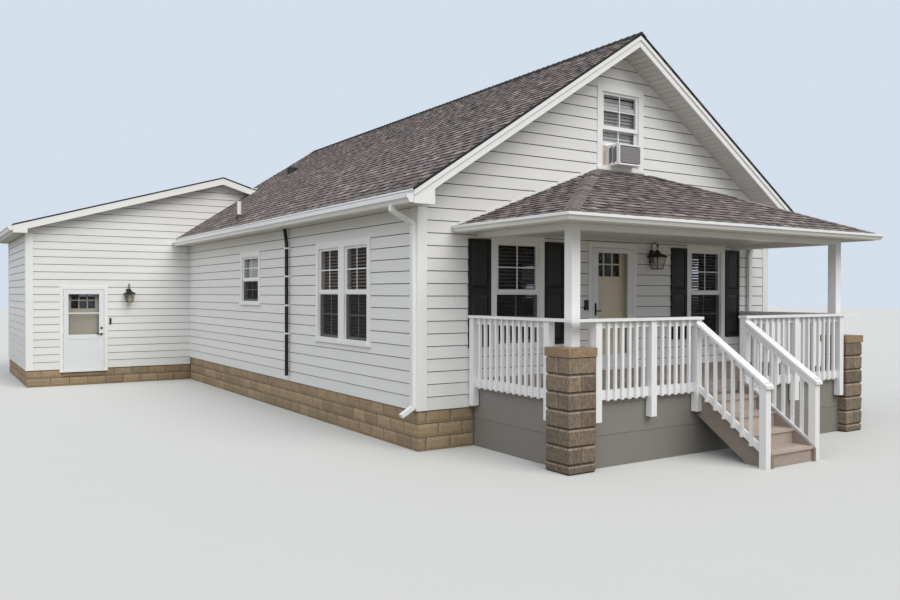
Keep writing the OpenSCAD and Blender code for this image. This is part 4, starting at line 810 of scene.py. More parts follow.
for xs, y in (((-reach, 0), front_board), ((0, reach), front_board), ((tip_x, 0), rear_in),
              ((0, reach), rear_in)):
    strip(xs, house_top, EDGE, y, y + RAKE_T)
for side, end in ((-1, WING), (1, rear_in)):
    strip(sorted((side * (reach - FASCIA_T), side * reach)), house_top, EDGE, front_in, end)
wing_west, wing_east = WING_MID - wing_reach, WING_MID + wing_reach
for xs, y in (((wing_west, WING_MID), wing_front_board), ((WING_MID, tip_x), wing_front_board),
              ((wing_west, WING_MID), wing_rear_in), ((WING_MID, wing_east), wing_rear_in)):
    strip(xs, wing_top, WING_EDGE, y, y + RAKE_T)
strip((wing_west, wing_west + FASCIA_T), wing_top, WING_EDGE, wing_front_in, wing_rear_in)
strip((wing_east - FASCIA_T, wing_east), wing_top, WING_EDGE, BEHIND, wing_rear_in)
# Thin dark strips over the shingles' cut ends at the rakes: painted shade.
for xs, top, y in (((-EAVE, 0), house_top, front_end), ((0, EAVE), house_top, front_end),
                   ((0, EAVE), house_top, rear_end),
                   ((WING_MID - WING_EAVE, WING_MID), wing_top, wing_front),
                   ((WING_MID, tip_x), wing_top, wing_front)):
    strip(xs, top, TAB_EDGE, y - TAB_THICK, y + TAB_THICK, TAB_EDGE)
strip((-VENT_HALF, 0, VENT_HALF), house_top, VENT_UP, front_end + VENT_SHORT,
      rear_end - VENT_SHORT, VENT_UP)
make_piece(edges, "roof_edges", DARK, "shingle")

# %% Drip edges
DRIP_T, DRIP_UP, DRIP_DOWN, DRIP_STOP = 0.002, 0.011, 0.022, 0.014
drips = Pile()


def drip(a, b, z):
    """A white strip between two corners in plan, from under the first course to over its edge."""
    drips.box((*a, z - DRIP_DOWN), (*b, z + DRIP_UP))


for side, house_end, wing_start in ((-1, WING, wing_front_in), (1, rear_board, BEHIND)):
    x, wing_x = side * EAVE, WING_MID + side * WING_EAVE
    drip((x, front_board), (x + side * DRIP_T, house_end), EAVE_Z)
    drip((wing_x, wing_start), (wing_x + side * DRIP_T, wing_rear_in), WING_EAVE_Z)
porch_y, porch_reach = FACE - PORCH_OUT - TAB_OUT * fy, PORCH_HALF + TAB_OUT
drip((PORCH_X - porch_reach, porch_y), (PORCH_X + porch_reach, porch_y - DRIP_T),
     PORCH_EDGE - TAB_OUT * fz)
for side in (-1, 1):
    x = PORCH_X + side * (PORCH_HALF + TAB_OUT * sx)
    drip((x, porch_y), (x + side * DRIP_T, FACE - DRIP_STOP), PORCH_EDGE - TAB_OUT * sz)
make_piece(drips, "drip_edges", GUTTER, "gutter_white")

# %% [markdown]
# ## Ribbed soffits
# The undersides of the overhangs are closed with narrow pale strips, four inches apart, with a
# groove between them whose backing is painted darker, as painted shade. Under the eaves the strips
# run out from the wall. Under the rakes they do the same, so they look like the rungs of a ladder
# that climbs the gable.

# %% Soffits
STRIP, GROOVE, BACK, SEAT = 0.105, 0.010, 0.005, 0.0003
ribs = Pile()


def rib_tint(k):
    return 0.47 + (k * 7 % 5) / 80


def ribbed(place, start, end, depth, pitch=STRIP):
    """Strips along a run; place(s, d, h) gives the point d across it and h below it."""
    count = max(1, round((end - start) / pitch))
    step = (end - start) / count
    for k in range(count):
        a, b = start + k * step + GROOVE / 2, start + (k + 1) * step - GROOVE / 2
        ribs.cell((a, b), (0, depth), (PANEL, BACK), rib_tint(k), place)
    # The backing behind the grooves gets tint 0.0, painted shade in the grooves.
    ribs.cell((start, end), (0, depth), (BACK, 0), 0.0, place)


def rake_ribs(y, out, ends, under, depth, run):
    """The two slopes of a gable's overhang, out from the wall at y."""
    for a, b in zip(ends, ends[1:]):
        ribbed(lambda s, d, h: (s, y + out * d, under(s) - SEAT - h), a, b, depth, STRIP / run)


eave_top, wing_eave_top = SOFFIT + PANEL, WING_SOFFIT + PANEL
eave_depth, wing_eave_depth = EAVE_OUT - FASCIA_T, WING_EAVE_OUT - FASCIA_T
rake_depth, wing_rake_depth = RAKE_OUT - RAKE_T, WING_RAKE_OUT - RAKE_T
for side, end in ((-1, WING), (1, rear_in)):
    ribbed(lambda s, d, h: (side * (HALF + d), s, eave_top - h), front_in, end, eave_depth)
rake_ribs(FACE, -1, (-HALF, 0, HALF), main_under, rake_depth, slope_run)
rake_ribs(REAR, 1, (tip_x, 0, HALF), main_under, rake_depth, slope_run)
for x, side, start in ((WING_L, -1, wing_front_in), (WING_R, 1, REAR)):
    ribbed(lambda s, d, h: (x + side * d, s, wing_eave_top - h), start, wing_rear_in,
           wing_eave_depth)
rake_ribs(WING, -1, (WING_L, WING_MID, tip_x), wing_under, wing_rake_depth, wing_run)
rake_ribs(WING_END, 1, (WING_L, WING_MID, WING_R), wing_under, wing_rake_depth, wing_run)
make_piece(ribs, "soffit_strips", SOFFIT_PAINT, "trim", stands_for=["soffits"])

# %% [markdown]
# ## Cheeks of the boxed eaves
# At the gables the level soffit of the eave lies lower than the sloping one of the rake. An upright
# cheek of the same white metal closes the step, or birds would nest in the eave.

# %% Eave cheeks
CHEEK = 0.006
cheeks = Pile()
main_step, wing_step = main_under(HALF) - PANEL, wing_under(WING_L) - PANEL
for x, y0, y1, low, high in ((-HALF, front_in, FACE, SOFFIT, main_step),
                             (HALF - CHEEK, front_in, FACE, SOFFIT, main_step),
                             (HALF - CHEEK, REAR, rear_in, SOFFIT, main_step),
                             (WING_L, wing_front_in, WING, WING_SOFFIT, wing_step),
                             (WING_L, WING_END, wing_rear_in, WING_SOFFIT, wing_step),
                             (WING_R - CHEEK, WING_END, wing_rear_in, WING_SOFFIT, wing_step)):
    cheeks.box((x, y0, low), (x + CHEEK, y1, high))
make_piece(cheeks, "eave_cheeks", TRIM, "trim")

# %% [markdown]
# ## The porch ceiling
# The porch is ceiled with the same ribbed strips. They run out from the wall and stop at the beams.

# %% Porch ceiling
CEILING, CEILING_T, BEAM_IN, CEILING_EDGE = 3.098, 0.006, 0.021, 0.025
ceiling_lo, ceiling_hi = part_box("porch_ceiling")
ribs = Pile()
count = round((ceiling_hi.x - ceiling_lo.x - 2 * CEILING_EDGE) / STRIP)
step = (ceiling_hi.x - ceiling_lo.x - 2 * CEILING_EDGE) / count
for k in range(count):
    a = ceiling_lo.x + CEILING_EDGE + k * step + GROOVE / 2
    ribs.box((a, FACE - PORCH_OUT + BEAM_IN, CEILING - CEILING_T),
             (a + step - GROOVE, FACE - HAIR, CEILING), rib_tint(k))
make_piece(ribs, "porch_ceiling_strips", SOFFIT_PAINT, "trim")

# %% [markdown]
# ## Flashing over the porch roof
# Where the porch roof runs into the wall, a bent strip of white metal closes the joint and throws
# the rain back on the shingles. It laps over the boards, follows the roof's top line and steps
# under the sill of the gable window.

# %% Wall flashing
FLASH_UP, FLASH_OUT, FLASH_SILL = 0.042, 0.017, 0.019
SILL_HALF = GABLE_W / 2 + 0.106
flashing = Pile()


def flash(x0, z0, x1, z1, up=FLASH_UP):
    flashing.prism([(x0, z0), (x1, z1), (x1, z1 + up), (x0, z0 + up)], FACE - FLASH_OUT, FACE)


for side in (-1, 1):
    knee = PORCH_X + side * PORCH_FLAT
    flash(PORCH_X + side * PORCH_HALF, PORCH_EDGE, knee, PORCH_TOP)
    flash(knee, PORCH_TOP, side * SILL_HALF, PORCH_TOP)
flash(-SILL_HALF, PORCH_TOP, SILL_HALF, PORCH_TOP, FLASH_SILL)
make_piece(flashing, "porch_flashing", GUTTER, "trim", stands_for=["flashings"])

# %% [markdown]
# ## Gutter ends
# The gutters are open troughs. Each end is closed with a stamped cap, a plate in the trough's own
# outline.

# %% Gutter ends
TROUGH = ((0, 0), (0.62, 0), (0.8, 0.45), (1, 0.6), (1, 1), (0, 1))
CAP_T, GUTTER_DOWN, WING_GUTTER_UP, GUTTER_STOP = 0.002, 0.006, 0.035, 0.005
PORCH_GUTTER_W, PORCH_GUTTER_H, PORCH_GUTTER_DOWN, PORCH_GUTTER_STOP = 0.110, 0.090, 0.1, 0.007
caps = Pile()


def gutter_cap(x, z, side, y, w=0.120, h=0.105):
    caps.prism([(x + side * a * w, z + b * h) for a, b in TROUGH], y, y + CAP_T)


for side, end in ((-1, WING - GUTTER_STOP), (1, rear_board)):
    for y in (front_board, end - CAP_T):
        gutter_cap(side * (HALF + EAVE_OUT), SOFFIT - GUTTER_DOWN, side, y)
for side, x, start in ((-1, WING_L - WING_EAVE_OUT, wing_front_board),
                       (1, WING_R + WING_EAVE_OUT, rear_board + GUTTER_STOP)):
    for y in (start, wing_rear_board - CAP_T):
        gutter_cap(x, WING_SOFFIT + WING_GUTTER_UP, side, y)
for side in (-1, 1):
    gutter_cap(PORCH_X + side * PORCH_HALF, PORCH_EDGE - PORCH_GUTTER_DOWN, side,
               FACE - PORCH_GUTTER_STOP, PORCH_GUTTER_W, PORCH_GUTTER_H)
make_piece(caps, "gutter_ends", GUTTER, "gutter_white")

# %% [markdown]
# ## Windows
# All windows are double-hung: the upper sash stands in front and the lower one slides up behind it.
# White bars divide each pane in four. The lower sash wears an insect screen outside, which makes it
# look darker. Slatted blinds hang in the rooms behind: wooden ones in the large windows, and pale
# closed ones in the small windows and the gable. Each window is listed once, with its wall, middle,
# foot, width, height, the height where its sashes meet, how far the lower sash is raised, and its
# blind. A place function for each wall then lets one loop fit them all.

# %% Window sizes
LINING, SASH, SASH_HEAD, SASH_FOOT, MEET, SILL = 0.020, 0.050, 0.040, 0.060, 0.0315, 0.025
UPPER_GLASS, LOWER_GLASS, BAR, BAR_T = 0.020, 0.050, 0.018, 0.006
LARGE = (WIN_Z, WIN_W, WIN_H, 0.818, 0.0)
SMALL = (SMALL_Z, SMALL_W, SMALL_H, 0.500, 0.0)
BLINDS = {"level": ("wood", SILL + 0.01, 12), "tilted": ("wood", SILL + 0.01, 28),
          "half": ("pale", SMALL[3] - 0.05, 72), "gable": ("pale", SILL + 0.345, 66)}


def seen_from(wall, mid, base):
    """place(u, d, z) on a wall: u along it, d into it and z over the window's hole."""
    return {"front": lambda u, d, z: (mid + u, FACE + d, base + z),
            "left": lambda u, d, z: (-HALF + d, mid + u, base + z),
            "right": lambda u, d, z: (HALF - d, mid + u, base + z),
            "rear": lambda u, d, z: (mid + u, WING_END - d, base + z)}[wall]


windows = [("front", side * FRONT_WIN, *LARGE, "level") for side in (-1, 1)]
for wall in ("left", "right"):
    windows += [(wall, PAIR_Y + k * PAIR_GAP, *LARGE, "tilted") for k in (-0.5, 0.5)]
    windows.append((wall, SMALL_Y, *SMALL, "half"))
windows += [("rear", WING_MID + side * WING_WIN_X, WING_WIN_Z, *LARGE[1:], "level")
            for side in (-1, 1)]
windows.append(("front", 0.0, GABLE_Z, GABLE_W, GABLE_H, 0.654, 0.335, "gable"))
print("windows", len(windows))

# %% Window bars
bars = Pile()
for wall, mid, base, w, h, meet, raised, kind in windows:
    place, glass, half = seen_from(wall, mid, base), w / 2 - LINING - SASH, BAR / 2
    for depth, low, high in ((UPPER_GLASS, meet + MEET, h - LINING - SASH_HEAD),
                             (LOWER_GLASS, SILL + SASH_FOOT + raised, meet - MEET + raised)):
        centre = (low + high) / 2
        for us, zs in (((-glass, -half), (centre - half, centre + half)),
                       ((-half, half), (centre - half, centre + half)),
                       ((half, glass), (centre - half, centre + half)),
                       ((-half, half), (low, centre - half)),
                       ((-half, half), (centre + half, high))):
            bars.cell(us, (depth - BAR_T, depth), zs, 0.5, place)
make_piece(bars, "window_bars", TRIM, "trim")

# %% Insect screens
RIM, RIM_DEPTH, MESH_DEPTH, MESH_IN = 0.014, (0.011, 0.021), (0.0160, 0.0168), 0.012
rims, screens = Pile(), Pile()
for wall, mid, base, w, h, meet, raised, kind in windows:
    if raised:
        continue
    place, half = seen_from(wall, mid, base), w / 2 - LINING - 0.001
    foot, top = SILL + 0.001, meet - MEET - 0.001
    screens.cell((MESH_IN - half, half - MESH_IN), MESH_DEPTH, (foot + MESH_IN, top - MESH_IN),
                 0.5, place)
    for us, zs in (((-half, RIM - half), (foot, top)), ((half - RIM, half), (foot, top)),
                   ((RIM - half, half - RIM), (foot, foot + RIM)),
                   ((RIM - half, half - RIM), (top - RIM, top))):
        rims.cell(us, RIM_DEPTH, zs, 0.5, place)
WIRE = finish("screen_mesh", (0.020, 0.021, 0.023), 0.8, drift=0.05, grain=300, bump=0.05)
feed(WIRE.node_tree.nodes["Principled BSDF"], {"Alpha": 0.40})
make_piece(rims, "screen_rims", TRIM, "trim")
make_piece(screens, "insect_screens", WIRE, "glass")

# %% Blinds
SLAT_STEP, SLAT_W, SLAT_T, HEAD_RAIL, FOOT_RAIL = 0.056, 0.060, 0.004, 0.038, 0.014
BLIND_D, RAIL_HALF, LADDER_AT, CORD_HALF = 0.122, 0.020, 0.62, 0.001
FIRST_SLAT, LAST_SLAT, BLIND_IN, BLIND_TOP = 0.035, 0.055, 0.006, 0.004
RAIL_D, LADDER_D = (BLIND_D - RAIL_HALF, BLIND_D + RAIL_HALF), (BLIND_D - 0.026, BLIND_D - 0.0245)
slats = {"wood": Pile(), "pale": Pile()}


def blind(pile, place, half, low, high, tilt):
    """A head rail, tilted slats, a bottom rail and two ladder cords."""
    for zs in ((high - HEAD_RAIL, high), (low, low + FOOT_RAIL)):
        pile.cell((-half, half), RAIL_D, zs, 0.6, place)
    c, s = math.cos(tilt) * SLAT_W / 2, math.sin(tilt) * SLAT_W / 2
    z = low + FIRST_SLAT
    while z < high - LAST_SLAT:
        slat = [(u, BLIND_D - e * c, z - e * s)
                for u, e in ((-half, 1), (half, 1), (half, -1), (-half, -1))]
        pile.slab(slat, SLAT_T, 0.3 + 0.4 * ((z * 37) % 1), place)
        z += SLAT_STEP
    for u in (-half * LADDER_AT, half * LADDER_AT):
        pile.cell((u - CORD_HALF, u + CORD_HALF), LADDER_D, (low, high - HEAD_RAIL), 0.4, place)


for wall, mid, base, w, h, meet, raised, kind in windows:
    colour, low, tilt = BLINDS[kind]
    blind(slats[colour], seen_from(wall, mid, base), w / 2 - LINING - BLIND_IN, low,
          h - LINING - BLIND_TOP, math.radians(tilt))
make_piece(slats["wood"], "wooden_blinds", WOOD_SLAT, "door_cream")
make_piece(slats["pale"], "pale_blinds", PALE_SLAT, "door_cream")

# %% [markdown]
# ## Handles and hinges
# The doors' levers and bolts are solids of the frame that share a mesh with their door. They stand
# off the leaf, so their faces can be told by where they lie, and only those faces get the black
# finish.

# %% Black door handles
LEAF_HALF, HINGE_FREE = 0.449, 0.3
STORM_FRONT, STORM_BACK, ENTRY_FRONT, ENTRY_BACK = -0.025, 0.007, 0.105, 0.150
for door, wall, hinge in (("front", FACE, DOOR_X + LEAF_HALF),
                          ("wing", WING, WING_DOOR_X - LEAF_HALF)):
    for leaf, near, far in (("storm", STORM_FRONT, STORM_BACK), ("entry", ENTRY_FRONT, ENTRY_BACK)):
        def off_leaf(p):
            inside = near - SLACK / 2 < p.y - wall < far + SLACK / 2
            return not inside and abs(p.x - hinge) > HINGE_FREE

        repaint(door + "_" + leaf + "_door", BLACK, off_leaf)

# %% [markdown]
# ## Small parts of the storm doors
# The front storm door's lever sits on a long plate. The wing's has a round plate and a lock of its
# own above it, and a bar across the glass, where its two panes meet.

# %% Plates, lock and glass bar
LEAF_Z, GRIP_IN, LEVER_UP, BAR_UP, BAR_IN = 0.026, 0.055, 0.955, 1.366, 0.108
LOCKS_UP, LOCK, LOCK_T = (0.870, 1.016), (0.027, 0.027, 0.0269), 0.012
LONG_PLATE, PLATE_T, BAR_DEPTH, BAR_H = (0.020, 0.105, 0.019), 0.005, (0.003, 0.0125), 0.028


def plate(pile, x, z, size, y0, y1, steps=5):
    """A flat oblong from y0 to y1; size is half its width, half its height, and corner radius."""
    (half_w, half_h, r), outline = size, []
    for sx, sz, start in ((1, 1, 0), (-1, 1, 90), (-1, -1, 180), (1, -1, 270)):
        for k in range(steps + 1):
            a = math.radians(start + 90 * k / steps)
            outline.append((x + (sx * (half_w - r) + r * math.cos(a)),
                            z + (sz * (half_h - r) + r * math.sin(a))))
    pile.prism(outline, y0, y1)


front_y, wing_y, leaf_foot = FACE + STORM_FRONT, WING + STORM_FRONT, WING_FLOOR + LEAF_Z
front_plate, wing_plates, wing_bar = Pile(), Pile(), Pile()
plate(front_plate, DOOR_X - LEAF_HALF + GRIP_IN, FLOOR + LEAF_Z + LEVER_UP, LONG_PLATE,
      front_y - PLATE_T, front_y)
make_piece(front_plate, "front_storm_plate", BLACK, "iron_black", body="front_storm_door")
for up in LOCKS_UP:
    plate(wing_plates, WING_DOOR_X + LEAF_HALF - GRIP_IN, leaf_foot + up, LOCK, wing_y - LOCK_T,
          wing_y)
make_piece(wing_plates, "wing_storm_lock", BLACK, "iron_black", body="wing_storm_door")
reach, near, far = LEAF_HALF - BAR_IN, wing_y + BAR_DEPTH[0], wing_y + BAR_DEPTH[1]
wing_bar.box((WING_DOOR_X - reach, near, leaf_foot + BAR_UP),
             (WING_DOOR_X + reach, far, leaf_foot + BAR_UP + BAR_H))
make_piece(wing_bar, "wing_storm_bar", STORM, "trim", body="wing_storm_door")

# %% [markdown]
# ## Shutter fields
# Each shutter is a frame round two sunk panels. A raised field with sloping edges fills the middle
# of a panel. Its four slopes take the light differently and are also painted apart, as painted
# light and shade: the top lightest, the sides lighter and the foot darkest, so that the panel still
# reads in the porch's shade.

# %% Shutter fields
SHUTTER_W, STILE, FOOT_RING, CROWN_RING = 0.397, 0.055, (0.010, 0.020), (0.044, 0.028)
# Painted light and shade for the foot, right, top and left slopes, and the crown's middle tint.
PANELS, SLOPE_TINTS, CROWN_TINT = ((0.055, 0.773), (0.863, 1.525)), (0.0, 0.6, 1.0, 0.8), 0.45
shutters_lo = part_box("shutters")[0]
shutter_mid = -shutters_lo.x - FRONT_WIN - SHUTTER_W / 2
fields = Pile()
for x in [side * FRONT_WIN + hand * shutter_mid for side in (-1, 1) for hand in (-1, 1)]:
    for z0, z1 in PANELS:
        rings = []
        for inset, out in (FOOT_RING, CROWN_RING):
            half, low, high = SHUTTER_W / 2 - STILE - inset, z0 + inset, z1 - inset
            rings.append([(x + u, FACE - out, shutters_lo.z + z)
                          for u, z in ((-half, low), (half, low), (half, high), (-half, high))])
        foot, crown = rings
        fields.face(foot[::-1], 0.5)
        fields.face(crown, CROWN_TINT)
        for k, tint in enumerate(SLOPE_TINTS):
            m = (k + 1) % 4
            fields.face([foot[k], foot[m], crown[m], crown[k]], tint)
make_piece(fields, "shutter_fields", FIELD, "shutter_grey")

# %% [markdown]
# ## Lanterns
# Each lantern gets four leaning panes, an ivory sleeve over its candle tube and a bulb. The bulb
# is painted warm orange as painted light, to look lit, though it gives no light. Sleeve and bulb
# are turned like wood on a lathe, from a list of radii and heights.

# %% Lantern glass, sleeves and bulbs
PANE_FOOT, PANE_H, PANE_T, PANE_OUT, CAGE_FOOT, CAGE_TOP = 0.015, 0.188, 0.002, 0.003, 0.052, 0.088
LANTERN_OUT, CANDLE_TOP = 0.143, (0.006, 0.1125)
SLEEVE = ((0.0145, 0.014), (0.0145, 0.111), CANDLE_TOP)
BULB = (CANDLE_TOP, (0.013, 0.124), (0.0165, 0.138), (0.013, 0.154), (0.006, 0.168), (0.001, 0.178))
lanterns = (Vector((DOOR_X + 0.898, FACE - LANTERN_OUT, FLOOR + 1.642)),
            Vector((WING_DOOR_X + 1.020, WING - LANTERN_OUT, WING_FLOOR + 1.665)))
panes, sleeves, bulbs = Pile(), Pile(), Pile()
for lantern in lanterns:
    for k in range(4):
        quarter = Matrix.Rotation(k * math.pi / 2, 3, "Z")

        def lean(u, d, h):
            half = CAGE_FOOT + (CAGE_TOP - CAGE_FOOT) * (h - PANE_FOOT) / PANE_H
            return lantern + quarter @ Vector((u * half, -half - PANE_OUT - d, h))

        panes.cell((-1, 1), (PANE_T, 0), (PANE_FOOT, PANE_FOOT + PANE_H), place=lean)
    sleeves.lathe(*lantern, SLEEVE)
    bulbs.lathe(*lantern, BULB)
make_piece(panes, "lantern_panes", LAMP_GLASS, "glass")
IVORY = finish("ivory", (0.80, 0.74, 0.60), 0.4, bump=0.03)
make_piece(sleeves, "candle_sleeves", IVORY, "door_cream")
# Painted light: the bulb's warm orange stands for a lit lamp.
WARM = finish("painted_glow_bulb", (0.95, 0.62, 0.25), 0.15, drift=0.1, bump=0.0, coat=0.6)
make_piece(bulbs, "candle_bulbs", WARM, "door_cream")

# %% [markdown]
# ## Rock-faced blocks
# The piers and the foundation are concrete blocks cast with a stone face. A block is eight inches
# high and sixteen long, and the joints alternate. Each face stands out between bevelled edges and
# is a little uneven; as painted light and shade, the upper bevels are painted lighter, the lower
# ones darker and the end bevels a little lighter. The frame's solids behind them are the mortar. On
# a pier the courses are counted from the cap, as the part course is at the foot.

# %% A walk along a wall
def walk(corners, closed):
    """The path along a line of corners, with the way out on its left; its marks and its length."""
    marks, ways = [0.0], []
    for a, b in zip(corners, corners[1:]):
        marks.append(marks[-1] + math.dist(a, b))
        ways.append(Vector((a[1] - b[1], b[0] - a[0], 0)).normalized())
    total = marks[-1]

    def path(s):
        s = s % total if closed else min(max(s, 0.0), total)
        k = next(k for k in range(len(ways)) if s <= marks[k + 1] + 1e-9)
        f = (s - marks[k]) / (marks[k + 1] - marks[k])
        a, b, out = corners[k], corners[k + 1], ways[k]
        at_corner = abs(s - marks[k + 1]) < 1e-6 and k + 1 < len(ways)
        if at_corner and out.dot(ways[k + 1]) < 0.5:
            out = out + ways[k + 1]
        return Vector((a[0] + (b[0] - a[0]) * f, a[1] + (b[1] - a[1]) * f, 0)), out

    return path, marks, total


print("round a metre square the walk is", walk([(0, 0), (0, 1), (1, 1), (1, 0), (0, 0)], True)[2])

# %% One rock face
BLOCK_L, BED, BEVEL, PROUD, INTO, UNEVEN = 0.4064, 0.012, 0.019, 0.0015, 0.004, 0.004
TOP_LIGHT, FOOT_SHADE, END_LIGHT = 0.35, -0.45, 0.15
stones = random.Random(23)


def rock_face(pile, path, corners, s0, s1, z0, z1, bulge, cell, tint):
    """One block's face with bevelled edges, a closed solid that reaches into the mortar."""
    stops = [s0] + [m for m in corners if s0 + 0.01 < m < s1 - 0.01] + [s1]
    places = [s0]
    for a, b in zip(stops, stops[1:]):
        count = max(2, round((b - a) / cell))
        places += [a + (b - a) * i / count for i in range(1, count + 1)]
    rows = max(3, round((z1 - z0) / cell))
    shift = Vector((tint * 31, tint * 17, tint * 7))

    def spot(s, z, out=None):
        """A point of the uneven face, or one that lies out from the wall by a set measure."""
        point, way = path(s)
        point.z = z
        if out is None:
            rough = noise.fractal(point * 11 + shift, 1.0, 2.0, 3)
            edge = min(s - s0, s1 - s, z - z0, z1 - z)
            out = PROUD + (bulge + UNEVEN * rough) * min(1.0, edge / BEVEL)
        return point + way * out

    grid = [[spot(s, z0 + (z1 - z0) * j / rows) for s in places] for j in range(rows + 1)]
    back = [[spot(s, z, -INTO) for s in places] for z in (z0, z1)]
    last = len(places) - 1
    for i in range(last):
        for j in range(rows):
            mid_s, mid_z = (places[i] + places[i + 1]) / 2, z0 + (z1 - z0) * (j + 0.5) / rows
            # Painted light and shade: bevel tints are raised at the top and ends and lowered at the
            # foot.
            shade = 0.30 + 0.40 * tint
            if z1 - mid_z < BEVEL:
                shade += TOP_LIGHT
            elif mid_z - z0 < BEVEL:
                shade += FOOT_SHADE
            elif min(mid_s - s0, s1 - mid_s) < BEVEL:
                shade += END_LIGHT
            pile.face([grid[j][i], grid[j][i + 1], grid[j + 1][i + 1], grid[j + 1][i]], shade)
        pile.face([back[0][i + 1], back[0][i], back[1][i], back[1][i + 1]], tint)
        pile.face([back[0][i], back[0][i + 1], grid[0][i + 1], grid[0][i]], tint)
        pile.face([grid[rows][i], grid[rows][i + 1], back[1][i + 1], back[1][i]], tint)
    for i in (0, last):
        pile.face([back[0][i]] + [row[i] for row in grid] + [back[1][i]], tint)


print("a block shows", round(BLOCK_L - BED, 3), "m of its length")

# %% Blocks on the piers
PIER_W, PIER_HALF, PIER_OUT, PIER_TOP, PIER_COURSE = 0.405, 2.924, 2.061, 1.434, 0.2205
PIER_BULGE, FINE = 0.013, 0.019
pier_blocks = Pile()
for side in (-1, 1):
    cx, cy, r = PORCH_X + side * PIER_HALF, FACE - PIER_OUT, PIER_W / 2
    ring = [(cx, cy - r), (cx - r, cy - r), (cx - r, cy + r), (cx + r, cy + r), (cx + r, cy - r),
            (cx, cy - r)]
    path, marks, total = walk(ring, True)
    corners = [m + lap * total for lap in (0, 1) for m in marks[1:-1]]
    top, course = PIER_TOP, 0
    while top > LEAST_COURSE:
        foot = max(0.0, top - PIER_COURSE)
        start = total / 4 if course % 2 == 0 else 0.0
        for s0 in (start, start + total / 2):
            rock_face(pier_blocks, path, corners, s0 + BED / 2, s0 + total / 2 - BED / 2,
                      foot + (BED / 2 if foot > 0 else 0.0), top - BED / 2, PIER_BULGE, FINE,
                      stones.random())
        top, course = foot, course + 1
make_piece(pier_blocks, "pier_blocks", ROCK, "block_brown")

# %% Blocks on the foundations
IN, BULGE, COARSE, COURSE_H, WING_COURSE_H = 0.015, 0.012, 0.045, 0.190, 0.196
SKIRT_HALF, LEDGE, LEAST_BLOCK, NEAR, TOUCH, PAST = 2.957, 0.297, 0.12, 0.1, 0.002, 0.016


def block_wall(pile, corners, courses, high, notch=None):
    """Courses of blocks along a wall; notch is a doorway's start, end and foot."""
    path, marks, total = walk(corners, False)
    for course in range(courses):
        joints = [0.0]
        for k, (a, b) in enumerate(zip(marks, marks[1:])):
            s = a + (BLOCK_L if (k + course) % 2 == 0 else BLOCK_L / 2)
            while s < b - LEAST_BLOCK:
                joints.append(s)
                s += BLOCK_L
        joints.append(total)
        z0, z1 = course * high + (BED / 2 if course else 0.0), (course + 1) * high - BED / 2
        cut = notch and notch[2] < z1
        if cut:
            joints = [s for s in joints if not notch[0] - NEAR < s < notch[1] + NEAR]
            joints = sorted(joints + notch[:2])
        for s0, s1 in zip(joints, joints[1:]):
            top = notch[2] if cut and notch[0] - HAIR < s0 and s1 < notch[1] + HAIR else z1
            first, final = s0 + (BED / 2 if s0 > 0 else 0), s1 - (BED / 2 if s1 < total else 0)
            rock_face(pile, path, marks[1:-1], first, final, z0, top, BULGE, COARSE,
                      stones.random())


w, e, f, b = -HALF + IN, HALF - IN, FACE + IN, REAR - IN
skirt_w, skirt_e = PORCH_X - SKIRT_HALF - TOUCH, PORCH_X + SKIRT_HALF + TOUCH
blocks = Pile()
block_wall(blocks, [(skirt_w, f), (w, f), (w, WING - TOUCH)], 3, COURSE_H)
block_wall(blocks, [(WING_R + TOUCH, b), (e, b), (e, f), (skirt_e, f)], 3, COURSE_H)
make_piece(blocks, "house_blocks", BLOCK, "block_tan")
start = w - PAST
doorway = [start - WING_DOOR_X - side * DOOR_W / 2 for side in (1, -1)] + [LEDGE]
w, e, f, b = WING_L + IN, WING_R - IN, WING + IN, WING_END - IN
blocks = Pile()
block_wall(blocks, [(start, f), (w, f), (w, b), (e, b), (e, REAR + TOUCH)], 2, WING_COURSE_H,
           doorway)
make_piece(blocks, "wing_blocks", BLOCK, "block_tan")

# %% [markdown]
# ## Deck boards, steps and skirt
# The porch floor is made of grooved planks laid along the front, with a finger's gap between them
# so that rain runs off. They are cut round the two piers. The steps carry two planks each, and a
# grey skirt in two rows of panels closes the space below the deck.

# %% Deck boards
DECK_HALF, DECK_OUT, DECK_T, RIM_H, WOOD, ROWS, JOISTS = 2.972, 2.150, 0.025, 0.135, 0.038, 15, 15
PLANK_GAP, PIER_GAP, FRAME_TINT = 0.005, 0.004, 0.35
planks = random.Random(31)
deck = Pile()
row, under_deck, rim_foot = DECK_OUT / ROWS, FLOOR - DECK_T, FLOOR - DECK_T - RIM_H
pier_in, pier_back = (PIER_HALF - PIER_W / 2 - PIER_GAP,
                      FACE - PIER_OUT + PIER_W / 2 + PIER_GAP)
stops = (-DECK_HALF, -pier_in, pier_in, DECK_HALF)
for k in range(ROWS):
    y1, y0, tint = FACE - k * row, FACE - (k + 1) * row + PLANK_GAP, planks.random()
    ys = [y0, pier_back, y1] if y0 < pier_back < y1 else [y0, y1]
    for ya, yb in zip(ys, ys[1:]):
        for i, (xa, xb) in enumerate(zip(stops, stops[1:])):
            if i == 1 or (ya + yb) / 2 > pier_back:
                deck.box((PORCH_X + xa, ya, under_deck), (PORCH_X + xb, yb, FLOOR), tint)
rim_back = FACE - DECK_OUT + WOOD
deck.box((PORCH_X - pier_in, FACE - DECK_OUT, rim_foot),
         (PORCH_X + pier_in, rim_back, under_deck), FRAME_TINT)
for k in range(JOISTS):
    x = PORCH_X - DECK_HALF + k * (2 * DECK_HALF - WOOD) / (JOISTS - 1)
    start = pier_back if k in (0, JOISTS - 1) else rim_back
    deck.box((x, start, rim_foot), (x + WOOD, FACE - HAIR, under_deck), FRAME_TINT)
make_piece(deck, "deck_boards", DECK, "deck_taupe", stands_for=["porch_deck"])

